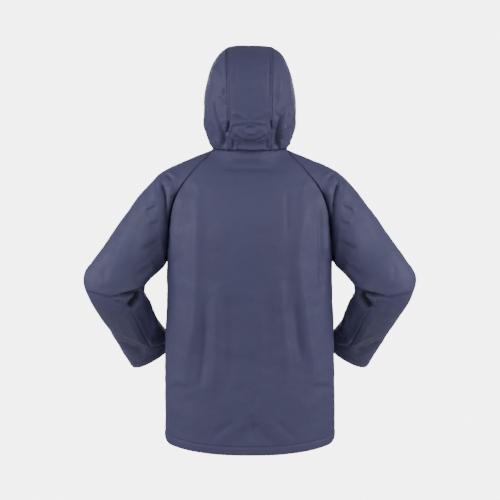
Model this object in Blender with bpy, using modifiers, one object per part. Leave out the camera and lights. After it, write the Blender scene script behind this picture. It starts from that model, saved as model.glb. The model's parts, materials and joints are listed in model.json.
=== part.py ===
"""A hooded raincoat as it hangs when it is worn: hollow cloth shells, one for each cut piece.

Metres. +Z is up, the coat's front faces -Y and the wearer's left is +X. The origin is the
middle of the neck, level with the nape seam, which is where the wearer holds the coat up.

Every panel is an open sheet of points on the coat's outer face, which Solidify turns
inwards into a wall. Neighbouring panels stop a seam's gap short of each other.
"""

import bmesh
import bpy
import numpy as np
from mathutils import Vector

NAME = "hooded_raincoat"

# Cloth and seams
CLOTH = 0.0015  # wall of the coated cloth
SEAM_GAP = 0.0007  # between the edges of two pieces that lie flush
RIDGE_GAP = 0.0012  # the same on the outer face of the hood's seams, which stand up as ridges
LAP = 0.032  # width of the front lap, half of it on each side of the middle
LAP_RISE = 0.0034  # how far the upper front stands forward over the lower one
LAP_EASE = 0.030  # width over which it comes back down

# Press studs
STUD_RADIUS = 0.0070
STUD_HEIGHT = 0.0022
STUD_SEAT = 0.0003
STUD_LEVELS = (0.04, 0.22, 0.40, 0.56, 0.72, 0.88)  # of the body, down the front lap
CHIN_STUD_ROW = 9  # of the hood's rows, up the throat
CHIN_STUD_SEAT = 0.0003  # more than STUD_SEAT, because the throat is rounder than the front
STUD_SIDES = 12

# Body, from the neck seam down to the hem. Half of its width, its depth behind and before
# the arm line, the height of each level at the side, back and front, and how square it is.
# level, half_width, back, front, side_z, back_z, front_z, squareness
TORSO = (
    (0.00, 0.0950, 0.074, 0.085, 0.008, 0.000, -0.062, 2.00),
    (0.04, 0.1240, 0.086, 0.098, -0.004, -0.031, -0.085, 2.05),
    (0.09, 0.1640, 0.103, 0.115, -0.024, -0.069, -0.118, 2.10),
    (0.15, 0.1970, 0.120, 0.130, -0.058, -0.115, -0.155, 2.20),
    (0.22, 0.2080, 0.132, 0.142, -0.115, -0.170, -0.200, 2.30),
    (0.30, 0.2110, 0.137, 0.148, -0.195, -0.232, -0.250, 2.40),
    (0.37, 0.2125, 0.136, 0.150, -0.278, -0.288, -0.297, 2.40),
    (0.50, 0.2145, 0.131, 0.150, -0.385, -0.388, -0.388, 2.40),
    (0.65, 0.2165, 0.128, 0.149, -0.500, -0.503, -0.500, 2.40),
    (0.80, 0.2175, 0.131, 0.150, -0.605, -0.613, -0.605, 2.40),
    (1.00, 0.2175, 0.137, 0.152, -0.739, -0.758, -0.743, 2.40),
)
UNDERARM = 0.37  # the level where both raglan seams end
CAP_LEAVE = 0.8  # how straight the sleeve's cap leaves the armhole, as a share of its length
CAP_ARRIVE = 0.75  # the same where it meets the shoulder end of the tube

# Raglan seams: where they cross each level, in degrees round from the side.
# level, back_seam, front_seam
RAGLAN = (
    (0.00, 18.0, -20.0),
    (0.04, 30.0, -32.0),
    (0.09, 35.0, -38.0),
    (0.15, 34.5, -38.0),
    (0.22, 24.5, -28.0),
    (0.30, 13.5, -17.0),
    (0.34, 10.0, -12.0),
    (0.37, 0.0, 0.0),
)

# Left sleeve from the shoulder (0) to the cuff (1): the outer and the inner edge of its
# flattened tube, and half of its depth between them.
# place, outer_x, outer_y, outer_z, inner_x, inner_y, inner_z, half_depth
SLEEVE = (
    (0.00, 0.2455, 0.000, -0.0620, 0.2200, 0.002, -0.2885, 0.080),
    (0.10, 0.2755, 0.005, -0.0950, 0.2225, 0.004, -0.2925, 0.077),
    (0.24, 0.3210, 0.015, -0.1575, 0.2310, 0.010, -0.3015, 0.073),
    (0.40, 0.3735, 0.030, -0.2362, 0.2490, 0.020, -0.3185, 0.069),
    (0.52, 0.4110, 0.042, -0.2920, 0.2660, 0.030, -0.3360, 0.066),
    (0.60, 0.4250, 0.050, -0.3320, 0.2720, 0.034, -0.3500, 0.064),
    (0.67, 0.4160, 0.045, -0.3620, 0.2700, 0.028, -0.3620, 0.061),
    (0.76, 0.3960, 0.022, -0.4060, 0.2580, 0.002, -0.3920, 0.056),
    (0.87, 0.3620, -0.025, -0.4690, 0.2400, -0.040, -0.4370, 0.048),
    (0.94, 0.3380, -0.060, -0.5190, 0.2205, -0.073, -0.4650, 0.041),
    (1.00, 0.3140, -0.090, -0.5615, 0.2010, -0.103, -0.4850, 0.035),
)

# Hood from the neck seam (0) to the face edge (1): a fan of ovals that spread from the
# throat. Each has its far point on the middle line over the head, its near point at the
# throat, half of its width, and two powers that square off its far half.
# place, far_y, far_z, near_y, near_z, half_width, upright_power, crosswise_power
HOOD = (
    (0.00, 0.074, 0.000, -0.085, -0.062, 0.0950, 2.00, 2.0),
    (0.08, 0.093, 0.022, -0.089, -0.055, 0.1005, 2.00, 2.2),
    (0.18, 0.114, 0.062, -0.093, -0.045, 0.1080, 1.90, 2.5),
    (0.30, 0.127, 0.115, -0.096, -0.034, 0.1140, 1.80, 2.9),
    (0.42, 0.128, 0.172, -0.099, -0.023, 0.1185, 1.55, 3.5),
    (0.54, 0.106, 0.228, -0.102, -0.012, 0.1205, 1.40, 4.0),
    (0.66, 0.060, 0.264, -0.105, -0.002, 0.1210, 1.32, 4.3),
    (0.78, -0.005, 0.277, -0.108, 0.008, 0.1195, 1.32, 4.3),
    (0.89, -0.078, 0.270, -0.111, 0.015, 0.1155, 1.40, 3.9),
    (1.00, -0.145, 0.250, -0.114, 0.020, 0.1075, 1.55, 3.3),
)
NECK_BLEND = 0.60  # share of the hood over which the neck seam's own curve fades out
HOOD_STRIP = ((0.0, 0.053), (0.3, 0.056), (0.6, 0.058), (1.0, 0.056))  # place, half_width

# Largest folds. On the body they run between two places (degrees round from the side, +90
# at the middle of the back; level), on a sleeve between (turn round the tube from its inner
# edge; place down it, negative above the shoulder). Height is out of the cloth.
# from_round, from_place, to_round, to_place, width, height
BODY_FOLDS = (
    (62.0, 0.22, 62.0, 0.48, 0.030, 0.0045),
    (62.0, 0.48, 48.0, 0.86, 0.032, 0.0050),
    (72.0, 0.50, 76.0, 0.88, 0.026, 0.0040),
    (118.0, 0.22, 120.0, 0.46, 0.030, 0.0045),
    (120.0, 0.46, 130.0, 0.86, 0.032, 0.0050),
    (104.0, 0.44, 112.0, 0.84, 0.026, 0.0040),
    (55.0, 0.56, 56.0, 0.80, 0.022, -0.0035),
    (126.0, 0.52, 124.0, 0.78, 0.022, -0.0035),
    (-55.0, 0.24, -60.0, 0.84, 0.032, 0.0045),
    (-122.0, 0.26, -126.0, 0.86, 0.032, 0.0045),
)
SLEEVE_FOLDS = (
    (0.06, 0.60, 0.30, 0.655, 0.016, -0.0080),
    (0.04, 0.70, 0.20, 0.640, 0.014, 0.0050),
    (0.96, 0.62, 0.72, 0.665, 0.016, -0.0070),
    (0.98, 0.71, 0.80, 0.650, 0.014, 0.0050),
    (0.16, 0.05, 0.34, 0.300, 0.020, 0.0045),
    (0.10, 0.12, 0.24, 0.420, 0.018, -0.0045),
    (0.86, 0.06, 0.70, 0.320, 0.020, 0.0045),
    (0.20, 0.95, 0.46, 0.840, 0.018, 0.0035),
)

# Grid of the panels
BODY_LEVELS = (
    0.0, 0.02, 0.04, 0.065, 0.09, 0.12, 0.15, 0.185, 0.22, 0.26, 0.30, 0.335, 0.37,
    0.40, 0.45, 0.50, 0.56, 0.61, 0.66, 0.72, 0.77, 0.82, 0.88, 0.92, 0.96, 1.0,
)
SEAM_LEVELS = BODY_LEVELS[: BODY_LEVELS.index(UNDERARM) + 1]
BACK_COLUMNS = 23
FRONT_COLUMNS = 14
NECK_COLUMNS = 6  # of the sleeve's own stretch of the neck seam
CAP_ROWS = 5  # from the armhole to the shoulder
SLEEVE_PLACES = np.linspace(0.0, 1.0, 21)
ELBOW_ROW = CAP_ROWS + 10  # where each sleeve's solid is parted, so that both halves are open
HOOD_PLACES = np.linspace(0.0, 1.0, 21)
HOOD_SIDE_COLUMNS = 15
HOOD_STRIP_COLUMNS = 8
NEAR_ANGLE = 1e-3  # steps over which the way along a surface is measured
NEAR_LEVEL = 0.02
FINE = 241  # points of a row before it is spaced out evenly
PAST_MIDDLE = np.radians(-110.0)  # how far round the left front is laid out before it is cut

NAVY = (0.070, 0.078, 0.140, 1.0)
STUD_BLUE = (0.045, 0.050, 0.085, 1.0)


def through(rows, place):
    """The smooth curve through every row of a table, read at the places asked for."""
    table = np.asarray(rows, float)
    knots, values = table[:, 0], table[:, 1:]
    place = np.asarray(place, float)
    step = np.diff(knots)
    slope = np.diff(values, axis=0) / step[:, None]
    tangent = np.empty_like(values)
    tangent[0], tangent[-1] = slope[0], slope[-1]
    weight = step[:-1, None] + step[1:, None]
    tangent[1:-1] = (slope[:-1] * step[1:, None] + slope[1:] * step[:-1, None]) / weight
    i = np.clip(np.searchsorted(knots, place, side="right") - 1, 0, len(knots) - 2)
    s = ((place - knots[i]) / step[i])[..., None]
    return hermite(values[i], step[i][..., None] * tangent[i],
                   values[i + 1], step[i][..., None] * tangent[i + 1], s)


def hermite(start, leave, end, arrive, s):
    """The cubic from start to end that leaves and arrives along the given tangents."""
    return ((1 + 2 * s) * (1 - s) ** 2 * start + s * (1 - s) ** 2 * leave
            + s * s * (3 - 2 * s) * end + s * s * (s - 1) * arrive)


def unit(vectors):
    return vectors / np.maximum(np.linalg.norm(vectors, axis=-1, keepdims=True), 1e-9)


def power(wave, exponent):
    """A sine or cosine raised to a power with its sign kept, which squares off an oval."""
    return np.sign(wave) * np.abs(wave) ** exponent


def torso(angle, level):
    """A point of the body's outer face: angle 0 at the wearer's left side, +90 degrees behind."""
    half, back, front, side_z, back_z, front_z, square = np.moveaxis(through(TORSO, level), -1, 0)
    x = half * power(np.cos(angle), 2 / square)
    behind = np.sin(angle) > 0
    y = np.where(behind, back, front) * power(np.sin(angle), 2 / square)
    z = side_z + (np.where(behind, back_z, front_z) - side_z) * np.sin(angle) ** 2
    return np.stack([x, y, z], axis=-1)


def raglan(levels):
    """Angles of the back and the front raglan seam at each level, both 0 below the underarm."""
    levels = np.asarray(levels, float)
    seams = np.radians(through(RAGLAN, np.clip(levels, 0, UNDERARM)))
    seams = np.where(levels[:, None] >= UNDERARM, 0.0, seams)
    return seams[:, 0], seams[:, 1]


def evenly(rows, count):
    """Each row of points, laid out again as count points at equal distances along it."""
    spaced = np.empty((len(rows), count, 3))
    for k, row in enumerate(rows):
        run = np.concatenate([[0.0], np.cumsum(np.linalg.norm(np.diff(row, axis=0), axis=1))])
        spaced[k] = np.stack([np.interp(np.linspace(0, run[-1], count), run, row[:, c])
                              for c in range(3)], axis=1)
    return spaced


def back_panel():
    """The back, each level running from the wearer's left seam round to the right one."""
    levels = np.array(BODY_LEVELS)
    seam, _ = raglan(levels)
    across = np.linspace(0, 1, FINE)
    angle = seam[:, None] + (np.pi - 2 * seam[:, None]) * across
    return evenly(torso(angle, levels[:, None]), BACK_COLUMNS)


def front_panel():
    """The left front, each level running from the side seam to half a lap past the middle."""
    levels = np.array(BODY_LEVELS)
    _, seam = raglan(levels)
    across = np.linspace(0, 1, FINE)
    angle = seam[:, None] + (PAST_MIDDLE - seam[:, None]) * across
    rows = torso(angle, levels[:, None])
    trimmed = [cut_at_x(row, -LAP / 2) for row in rows]
    return evenly(trimmed, FRONT_COLUMNS)


def cut_at_x(row, limit):
    """A row of points that runs towards -X, cut off exactly at x = limit."""
    last = np.count_nonzero(row[:, 0] > limit)
    share = (row[last - 1, 0] - limit) / (row[last - 1, 0] - row[last, 0])
    end = row[last - 1] + (row[last] - row[last - 1]) * share
    return np.concatenate([row[:last], end[None]])


def lapped_over(points):
    """The same sheet, stood forward near the middle so that it lies over the other front."""
    ease = np.clip((LAP / 2 + LAP_EASE - points[..., 0]) / LAP_EASE, 0, 1)
    rise = LAP_RISE * ease * ease * (3 - 2 * ease)
    return points - rise[..., None] * np.array([0.0, 1.0, 0.0])


def arm(turn, place):
    """A point of the sleeve's tube: turn 0 on its inner edge, a quarter behind, a half outside."""
    row = through(SLEEVE, place)
    outer, inner, half_depth = row[..., 0:3], row[..., 3:6], row[..., 6:7]
    above = through(SLEEVE, np.clip(np.asarray(place) - NEAR_LEVEL, 0, 1))
    below = through(SLEEVE, np.clip(np.asarray(place) + NEAR_LEVEL, 0, 1))
    along = (below[..., 0:3] + below[..., 3:6]) - (above[..., 0:3] + above[..., 3:6])
    wide = (outer - inner) / 2
    deep = unit(np.cross(along, wide))
    deep = deep * np.where(deep[..., 1:2] < 0, -half_depth, half_depth)
    round_ = 2 * np.pi * np.asarray(turn)[..., None]
    return (outer + inner) / 2 - wide * np.cos(round_) + deep * np.sin(round_)


def armhole():
    """The closed seam that the sleeve is sewn to, and the way the cloth leaves it.

    It runs from the underarm up the back raglan seam, along the neck and down the front one.
    """
    levels = np.array(SEAM_LEVELS)
    back, front = raglan(levels)
    neck = np.linspace(back[0], front[0], NECK_COLUMNS + 1)
    angle = np.concatenate([back[::-1], neck[1:-1], front])[:-1]
    level = np.concatenate([levels[::-1], np.zeros(NECK_COLUMNS - 1), levels])[:-1]
    round_ = unit(torso(angle + NEAR_ANGLE, level) - torso(angle - NEAR_ANGLE, level))
    down = unit(torso(angle, level + NEAR_LEVEL) - torso(angle, level))
    out = unit(np.cross(down, round_))
    order = np.arange(len(level))
    on_neck = (order >= len(levels) - 1) & (order < len(levels) + NECK_COLUMNS)
    side = np.where(order < len(levels) + NECK_COLUMNS // 2, -1.0, 1.0)
    return torso(angle, level), np.where(on_neck[:, None], down, round_ * side[:, None]), out


def cap(turn_count, rows):
    """Rows of points that lead from the armhole to the shoulder end of the sleeve's tube."""
    seam, leave, out = armhole()
    turn = np.arange(turn_count) / turn_count
    ring = arm(turn, np.zeros(turn_count))
    chord = ring - seam
    reach = np.linalg.norm(chord, axis=1, keepdims=True)
    from_top = np.abs(turn - 0.5)[:, None] * 2
    follow = np.clip(1.1 - 1.1 * from_top, 0.0, 0.85)
    lift = 0.12 * np.clip(from_top / 0.2, 0, 1) + 0.9 * np.clip(from_top - 0.45, 0, 0.4) / 0.4
    leave = unit(leave * follow + unit(chord) * (1 - follow) + out * lift)
    for _ in range(2):
        leave = unit(np.roll(leave, 1, axis=0) + 2 * leave + np.roll(leave, -1, axis=0))
    arrive = unit(arm(turn, np.full(turn_count, 0.03)) - ring)
    s = np.linspace(0, 1, rows, endpoint=False)[:, None, None]
    return hermite(seam, leave * reach * CAP_LEAVE, ring, arrive * reach * CAP_ARRIVE, s)


def sleeve():
    """The left sleeve: the cap, then the tube, as a grid whose last column repeats the first."""
    turn_count = 2 * (len(SEAM_LEVELS) - 1) + NECK_COLUMNS
    turn = np.arange(turn_count) / turn_count
    tube = arm(turn[None, :], SLEEVE_PLACES[:, None])
    tube = folded(tube, arm, SLEEVE_FOLDS)
    rows = np.concatenate([cap(turn_count, CAP_ROWS), tube])
    return np.concatenate([rows, rows[:, :1]], axis=1)


def oval(round_, place):
    """A point of the flat oval at a place of the hood: round 0 at the throat, pi over the head."""
    row = np.moveaxis(through(HOOD, place), -1, 0)
    far_y, far_z, near_y, near_z, half, upright, crosswise = row
    far = np.cos(round_) < 0
    along = 0.5 - 0.5 * power(np.cos(round_), 2 / np.where(far, upright, 2.0))
    x = half * power(np.sin(round_), 2 / np.where(far, crosswise, 2.0))
    return np.stack([x + 0 * along, near_y + (far_y - near_y) * along,
                     near_z + (far_z - near_z) * along], axis=-1)


def hood(round_, place):
    """A point of the hood: the fan's oval, bent near the neck to meet the body's neck seam."""
    done = np.clip(place / NECK_BLEND, 0, 1)
    fade = 1 - done * done * (3 - 2 * done)
    neck = torso(round_ - np.pi / 2, np.zeros(np.shape(round_)))
    return oval(round_, place) + (neck - oval(round_, 0 * place)) * fade[..., None]


def strip_edge(place):
    """How far round the hood its middle strip begins, worked out from the strip's width."""
    width = through(HOOD_STRIP, place)[..., 0]
    row = through(HOOD, place)
    return np.pi - np.arcsin((width / row[..., 4]) ** (row[..., 6] / 2))


def hood_side():
    """The hood's left side, each row running from half a lap past the throat to the strip."""
    place = HOOD_PLACES[:, None]
    lap = -np.arcsin(LAP / 2 / through(HOOD, place)[..., 4])
    edge = strip_edge(place)
    across = np.linspace(0, 1, FINE)
    return evenly(hood(lap + (edge - lap) * across, place + 0 * across), HOOD_SIDE_COLUMNS)


def hood_strip():
    """The hood's middle strip, each row running from its left edge over to its right one."""
    place = HOOD_PLACES[:, None]
    edge = strip_edge(place)
    across = np.linspace(0, 1, FINE)
    left = hood(edge + (np.pi - edge) * across, place + 0 * across)
    right = left[:, -2::-1] * np.array([-1.0, 1.0, 1.0])
    return evenly(np.concatenate([left, right], axis=1), HOOD_STRIP_COLUMNS)


def folded(points, surface, folds):
    """The points moved along their normals by soft ridges and troughs.

    Each one is a bell across a line on the surface: its height times exp of minus the
    squared distance to the line over the squared width.
    """
    across = np.gradient(points, axis=1)
    down = np.gradient(points, axis=0)
    normal = unit(np.cross(across, down))
    middle = points.mean(axis=(0, 1))
    if np.sum(normal * (points - middle)) < 0:
        normal = -normal
    height = np.zeros(points.shape[:2])
    for from_round, from_place, to_round, to_place, width, rise in folds:
        steps = np.linspace(0, 1, 9)
        line = surface(from_round + (to_round - from_round) * steps,
                       from_place + (to_place - from_place) * steps)
        height += rise * np.exp(-(distance_to(line, points) / width) ** 2)
    return points + normal * height[..., None]


def distance_to(line, points):
    """The least distance of each point to a line of straight stretches."""
    start, run = line[:-1], np.diff(line, axis=0)
    off = points[..., None, :] - start
    share = np.clip(np.sum(off * run, axis=-1) / np.sum(run * run, axis=-1), 0, 1)
    return np.linalg.norm(off - share[..., None] * run, axis=-1).min(axis=-1)


def body_place(degrees, level):
    return torso(np.radians(degrees), level)


def pulled_in(points, left=0.0, right=0.0, top=0.0, bottom=0.0):
    """The sheet with its edge rows and columns drawn back along the cloth, for the seams' gaps."""
    points = points.copy()
    points[:, 0] += unit(points[:, 1] - points[:, 0]) * left
    points[:, -1] += unit(points[:, -2] - points[:, -1]) * right
    points[0] += unit(points[1] - points[0]) * top
    points[-1] += unit(points[-2] - points[-1]) * bottom
    return points


def cloth_material(name, colour):
    material = bpy.data.materials.new(name)
    material.use_nodes = True
    shader = material.node_tree.nodes["Principled BSDF"]
    shader.inputs["Base Color"].default_value = colour
    shader.inputs["Roughness"].default_value = 0.55
    shader.inputs["Metallic"].default_value = 0.0
    return material


def stud_material():
    material = cloth_material("press_stud_paint", STUD_BLUE)
    material.node_tree.nodes["Principled BSDF"].inputs["Roughness"].default_value = 0.35
    return material


def sheet(name, points, collection, root):
    """One cut piece: a grid bent to the points, thickened inwards into a wall of cloth."""
    rows, columns = points.shape[:2]
    mesh = bpy.data.meshes.new(name)
    grid = bmesh.new()
    bmesh.ops.create_grid(grid, x_segments=columns - 1, y_segments=rows - 1, size=1.0)
    for vertex, place in zip(grid.verts, points.reshape(-1, 3)):
        vertex.co = place
    bmesh.ops.remove_doubles(grid, verts=grid.verts[:], dist=1e-5)
    grid.to_mesh(mesh)
    grid.free()
    mesh.shade_smooth()
    mesh.materials.append(cloth_material(name + "_cloth", NAVY))
    piece = bpy.data.objects.new(name, mesh)
    piece.parent = root
    collection.objects.link(piece)
    wall = piece.modifiers.new("Wall", "SOLIDIFY")
    wall.thickness = CLOTH
    wall.offset = -1.0
    return piece


def seat_on(points, row):
    """Where the middle line crosses a row of an upper front sheet, and the way out there."""
    x = points[row, ::-1, 0]
    seat = np.array([np.interp(0.0, x, points[row, ::-1, c]) for c in range(3)])
    last = points.shape[1] - 1
    across = points[row, last - 1] - points[row, last]
    down = points[row + 1, last] - points[row - 1, last]
    out = np.cross(across, down)
    return seat, unit(out if out[1] < 0 else -out)


def stud(name, seat, out, material, collection, root):
    """A press stud's cap: a low dome turned about its own axis, seated on the cloth."""
    profile = ((0.0, 1.0), (0.55, 0.93), (0.85, 0.72), (1.0, 0.35), (1.0, 0.0), (0.0, 0.0))
    mesh = bpy.data.meshes.new(name)
    points = [(STUD_RADIUS * r, 0.0, STUD_HEIGHT * h) for r, h in profile]
    mesh.from_pydata(points, [(k, k + 1) for k in range(len(points) - 1)], [])
    mesh.materials.append(material)
    piece = bpy.data.objects.new(name, mesh)
    piece.parent = root
    collection.objects.link(piece)
    direction = Vector(out)
    piece.location = Vector(seat) + direction * STUD_SEAT
    piece.rotation_euler = direction.to_track_quat("Z", "Y").to_euler()
    turned = piece.modifiers.new("Turned", "SCREW")
    turned.axis = "Z"
    turned.steps = STUD_SIDES
    turned.render_steps = STUD_SIDES
    turned.use_merge_vertices = True
    turned.merge_threshold = 1e-5
    turned.use_smooth_shade = True


def mirrored(points):
    """The other side's sheet, with its columns turned round so that it still faces out."""
    return points[:, ::-1] * np.array([-1.0, 1.0, 1.0])


def body(collection, root):
    half_gap = SEAM_GAP / 2
    back = folded(back_panel(), body_place, BODY_FOLDS)
    back = pulled_in(back, left=half_gap, right=half_gap, top=half_gap)
    sheet("back_panel", back[:, ::-1], collection, root)
    front = front_panel()
    left = folded(lapped_over(front), body_place, BODY_FOLDS)
    right = folded(mirrored(front), body_place, BODY_FOLDS)
    left = pulled_in(left, left=half_gap, top=half_gap)
    right = pulled_in(right, right=half_gap, top=half_gap)
    sheet("front_left", left, collection, root)
    sheet("front_right", right, collection, root)
    return left


def sleeves(collection, root):
    """Each sleeve is one cut piece in two solids, which meet in a ring just above the elbow."""
    half_gap = SEAM_GAP / 2
    whole = sleeve()
    upper = pulled_in(whole[: ELBOW_ROW + 1], top=half_gap, bottom=half_gap)
    lower = pulled_in(whole[ELBOW_ROW:], top=half_gap)
    for stretch, left in (("upper", upper), ("lower", lower)):
        sheet(f"sleeve_left_{stretch}", left, collection, root)
        sheet(f"sleeve_right_{stretch}", mirrored(left), collection, root)


def hood_pieces(collection, root):
    half_gap = SEAM_GAP / 2
    half_ridge = RIDGE_GAP / 2
    strip = pulled_in(hood_strip(), left=half_ridge, right=half_ridge, top=half_gap)
    sheet("hood_centre", strip, collection, root)
    side = hood_side()
    upper = pulled_in(lapped_over(side), right=half_ridge, top=half_gap)
    lower = pulled_in(mirrored(side), left=half_ridge, top=half_gap)
    sheet("hood_left", upper, collection, root)
    sheet("hood_right", lower, collection, root)
    return upper


def studs(front, hood_front, collection, root):
    material = stud_material()
    chin, out = seat_on(hood_front, CHIN_STUD_ROW)
    seats = [(chin + out * CHIN_STUD_SEAT, out)]
    seats += [seat_on(front, BODY_LEVELS.index(level)) for level in STUD_LEVELS]
    for number, (seat, out) in enumerate(seats, start=1):
        stud(f"press_stud_{number}", seat, out, material, collection, root)


def main():
    for old in list(bpy.data.objects):
        bpy.data.objects.remove(old, do_unlink=True)
    collection = bpy.data.collections.new(NAME)
    bpy.context.scene.collection.children.link(collection)
    root = bpy.data.objects.new(NAME + "_root", None)
    collection.objects.link(root)
    front = body(collection, root)
    sleeves(collection, root)
    hood_front = hood_pieces(collection, root)
    studs(front, hood_front, collection, root)


main()
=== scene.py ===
# %% [markdown]
# # The looks of a hooded raincoat
#
# The coat's solids come from its CAD part, as plain hollow walls, one for each cut piece of
# cloth. This lesson dresses them. Each piece is worked out again as a fine sheet on the same
# form, then gets its folds, its sewn edges, its turned hems, its stitches and the finish of
# a coated cloth. A garment could also be dropped on a figure in a cloth simulation, but its
# folds would land wherever the solver puts them. Here every fold has its own line and size.
#
# Lengths are in metres unless a name or a comment says millimetres. +Z is up, the coat's
# front faces -Y and the wearer's left is +X. The origin is the middle of the neck.

# %% Frame and libraries
import json

import bpy
import numpy as np
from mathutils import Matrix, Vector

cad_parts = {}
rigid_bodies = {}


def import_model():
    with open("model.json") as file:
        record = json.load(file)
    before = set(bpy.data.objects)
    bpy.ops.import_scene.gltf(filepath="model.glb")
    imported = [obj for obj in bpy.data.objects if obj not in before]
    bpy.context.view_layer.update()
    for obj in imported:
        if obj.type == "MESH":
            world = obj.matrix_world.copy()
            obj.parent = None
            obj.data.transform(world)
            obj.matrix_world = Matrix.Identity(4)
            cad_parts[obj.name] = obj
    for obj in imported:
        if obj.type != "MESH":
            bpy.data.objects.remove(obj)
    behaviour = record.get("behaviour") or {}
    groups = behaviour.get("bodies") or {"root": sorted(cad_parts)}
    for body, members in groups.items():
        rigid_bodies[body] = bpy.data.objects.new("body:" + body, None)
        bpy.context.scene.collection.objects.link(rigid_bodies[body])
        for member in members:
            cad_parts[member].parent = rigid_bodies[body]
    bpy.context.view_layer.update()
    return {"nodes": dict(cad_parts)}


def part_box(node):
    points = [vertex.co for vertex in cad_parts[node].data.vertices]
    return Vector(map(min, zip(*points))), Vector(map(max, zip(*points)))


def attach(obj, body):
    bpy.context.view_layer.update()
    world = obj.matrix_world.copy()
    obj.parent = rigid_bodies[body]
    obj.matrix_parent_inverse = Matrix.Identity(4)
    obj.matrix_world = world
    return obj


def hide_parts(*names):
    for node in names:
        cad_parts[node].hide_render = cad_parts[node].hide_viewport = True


for old in list(bpy.data.objects):
    bpy.data.objects.remove(old, do_unlink=True)
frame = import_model()
print("CAD pieces:", len(frame["nodes"]))

# %% [markdown]
# ## The camera
# The coat is looked at from behind, level with the middle of its back. A long lens three
# metres away keeps the sleeves and the hood in proportion, as a catalogue picture does. The
# camera is made first, so that every later step can be judged through it.

# %% Camera
CAMERA_PLACE = (-0.00065, 3.0, -0.251)
LENS_MM = 83.1

camera = bpy.data.objects.new("camera", bpy.data.cameras.new("camera"))
bpy.context.scene.collection.objects.link(camera)
camera.data.lens = LENS_MM
camera.data.sensor_width = 36.0
camera.location = CAMERA_PLACE
camera.rotation_euler = (np.pi / 2, 0.0, np.pi)
bpy.context.scene.camera = camera
print("camera at", CAMERA_PLACE, "lens", LENS_MM, "mm")

# %% [markdown]
# ## Curves through measured rows
# A pattern maker measures a coat at a few levels and draws smooth lines through the marks.
# The tables below do the same. `through` is the cubic that passes every row of a table, and
# `hermite` joins two points that have known directions. Blender's own curves could be used,
# but a formula gives every point of a sheet at once, as one numpy array.

# %% Helpers: smooth curves
MM = 0.001
TINY = 1e-12


def hermite(start, leave, end, arrive, s):
    """The cubic from start to end that leaves and arrives along the given tangents."""
    return ((1 + 2 * s) * (1 - s) ** 2 * start + s * (1 - s) ** 2 * leave
            + s * s * (3 - 2 * s) * end + s * s * (s - 1) * arrive)


def through(rows, place):
    """The smooth curve through all rows of a table, whose first column is the place.

    Each tangent is the mean of the two slopes beside it, each weighted by the other's step.
    """
    table = np.asarray(rows, float)
    knots, values = table[:, 0], table[:, 1:]
    place = np.asarray(place, float)
    step = np.diff(knots)
    slope = np.diff(values, axis=0) / step[:, None]
    tangent = np.empty_like(values)
    tangent[0], tangent[-1] = slope[0], slope[-1]
    weight = step[:-1, None] + step[1:, None]
    tangent[1:-1] = (slope[:-1] * step[1:, None] + slope[1:] * step[:-1, None]) / weight
    i = np.clip(np.searchsorted(knots, place, side="right") - 1, 0, len(knots) - 2)
    s = ((place - knots[i]) / step[i])[..., None]
    return hermite(values[i], step[i][..., None] * tangent[i],
                   values[i + 1], step[i][..., None] * tangent[i + 1], s)


def unit(vectors):
    """The vectors at length one."""
    return vectors / np.maximum(np.linalg.norm(vectors, axis=-1, keepdims=True), TINY)


def signed_power(wave, exponent):
    """A sine or cosine raised to a power with its sign kept, which squares off an oval."""
    return np.sign(wave) * np.abs(wave) ** exponent


def smooth(share):
    """0 up to 0, 1 from 1 on, and 3t^2 - 2t^3 in between."""
    t = np.clip(share, 0, 1)
    return t * t * (3 - 2 * t)


def bell(distance, width, power=2):
    """1 at no distance, about a third at the width, and soon 0. A higher power is flatter."""
    return np.exp(-np.abs(distance / width) ** power)


print("halfway between 0 and 1, `through` gives", through([(0, 0.0), (1, 1.0)], 0.5))

# %% Where the stations of a grid stand
LINE_SAMPLES = 4001


def stations(length, step, crowds=()):
    """Shares from 0 to 1 along a line, a step apart and closer together at the crowds.

    Each crowd is (place, finer step, reach). The density of stations is one over the step
    plus a bell at each crowd, and they stand where its running sum passes equal amounts.
    """
    s = np.linspace(0, length, LINE_SAMPLES)
    density = np.full_like(s, 1 / step)
    for place, fine, reach in crowds:
        density += (1 / fine - 1 / step) * bell(s - place, reach)
    total = np.concatenate([[0], np.cumsum((density[1:] + density[:-1]) / 2 * np.diff(s))])
    count = int(np.ceil(total[-1]))
    return np.interp(np.linspace(0, total[-1], count + 1), total, s) / length


def run_along(line):
    """Distance along a line of points from its start."""
    return np.concatenate([[0], np.cumsum(np.linalg.norm(np.diff(line, axis=0), axis=1))])


def running(points, axis):
    """Distance along the grid's lines from their start, by summing the steps."""
    step = np.linalg.norm(np.diff(points, axis=axis), axis=2)
    return np.pad(np.cumsum(step, axis=axis), [(int(axis == k), 0) for k in range(2)])


def laid_out(rows, shares):
    """Every row of points, placed again at the given shares of its own length.

    All rows are chained into one rising line, two units apart, so that one np.interp reads
    them together.
    """
    run = running(rows, 1)
    lift = 2.0 * np.arange(len(rows))[:, None]
    known = (run / run[:, -1:] + lift).ravel()
    want = (np.asarray(shares)[None, :] + lift).ravel()
    read = [np.interp(want, known, rows[..., axis].ravel()) for axis in range(3)]
    return np.stack(read, axis=-1).reshape(len(rows), -1, 3)


print("stations on 0.1 m:", len(stations(0.1, 0.01, [(0.0, 0.001, 0.005)])))

# %% [markdown]
# ## The form of the body
# The body is a stack of squared ovals, one for each level between the neck seam and the hem.
# Each oval's points also rise and fall, because the neck seam is lower in front, and the hem
# dips a little behind. The raglan seams cut the shoulders off for the sleeves. These rows
# are the same as in the CAD source, so the cloth lies on its solid.

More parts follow.
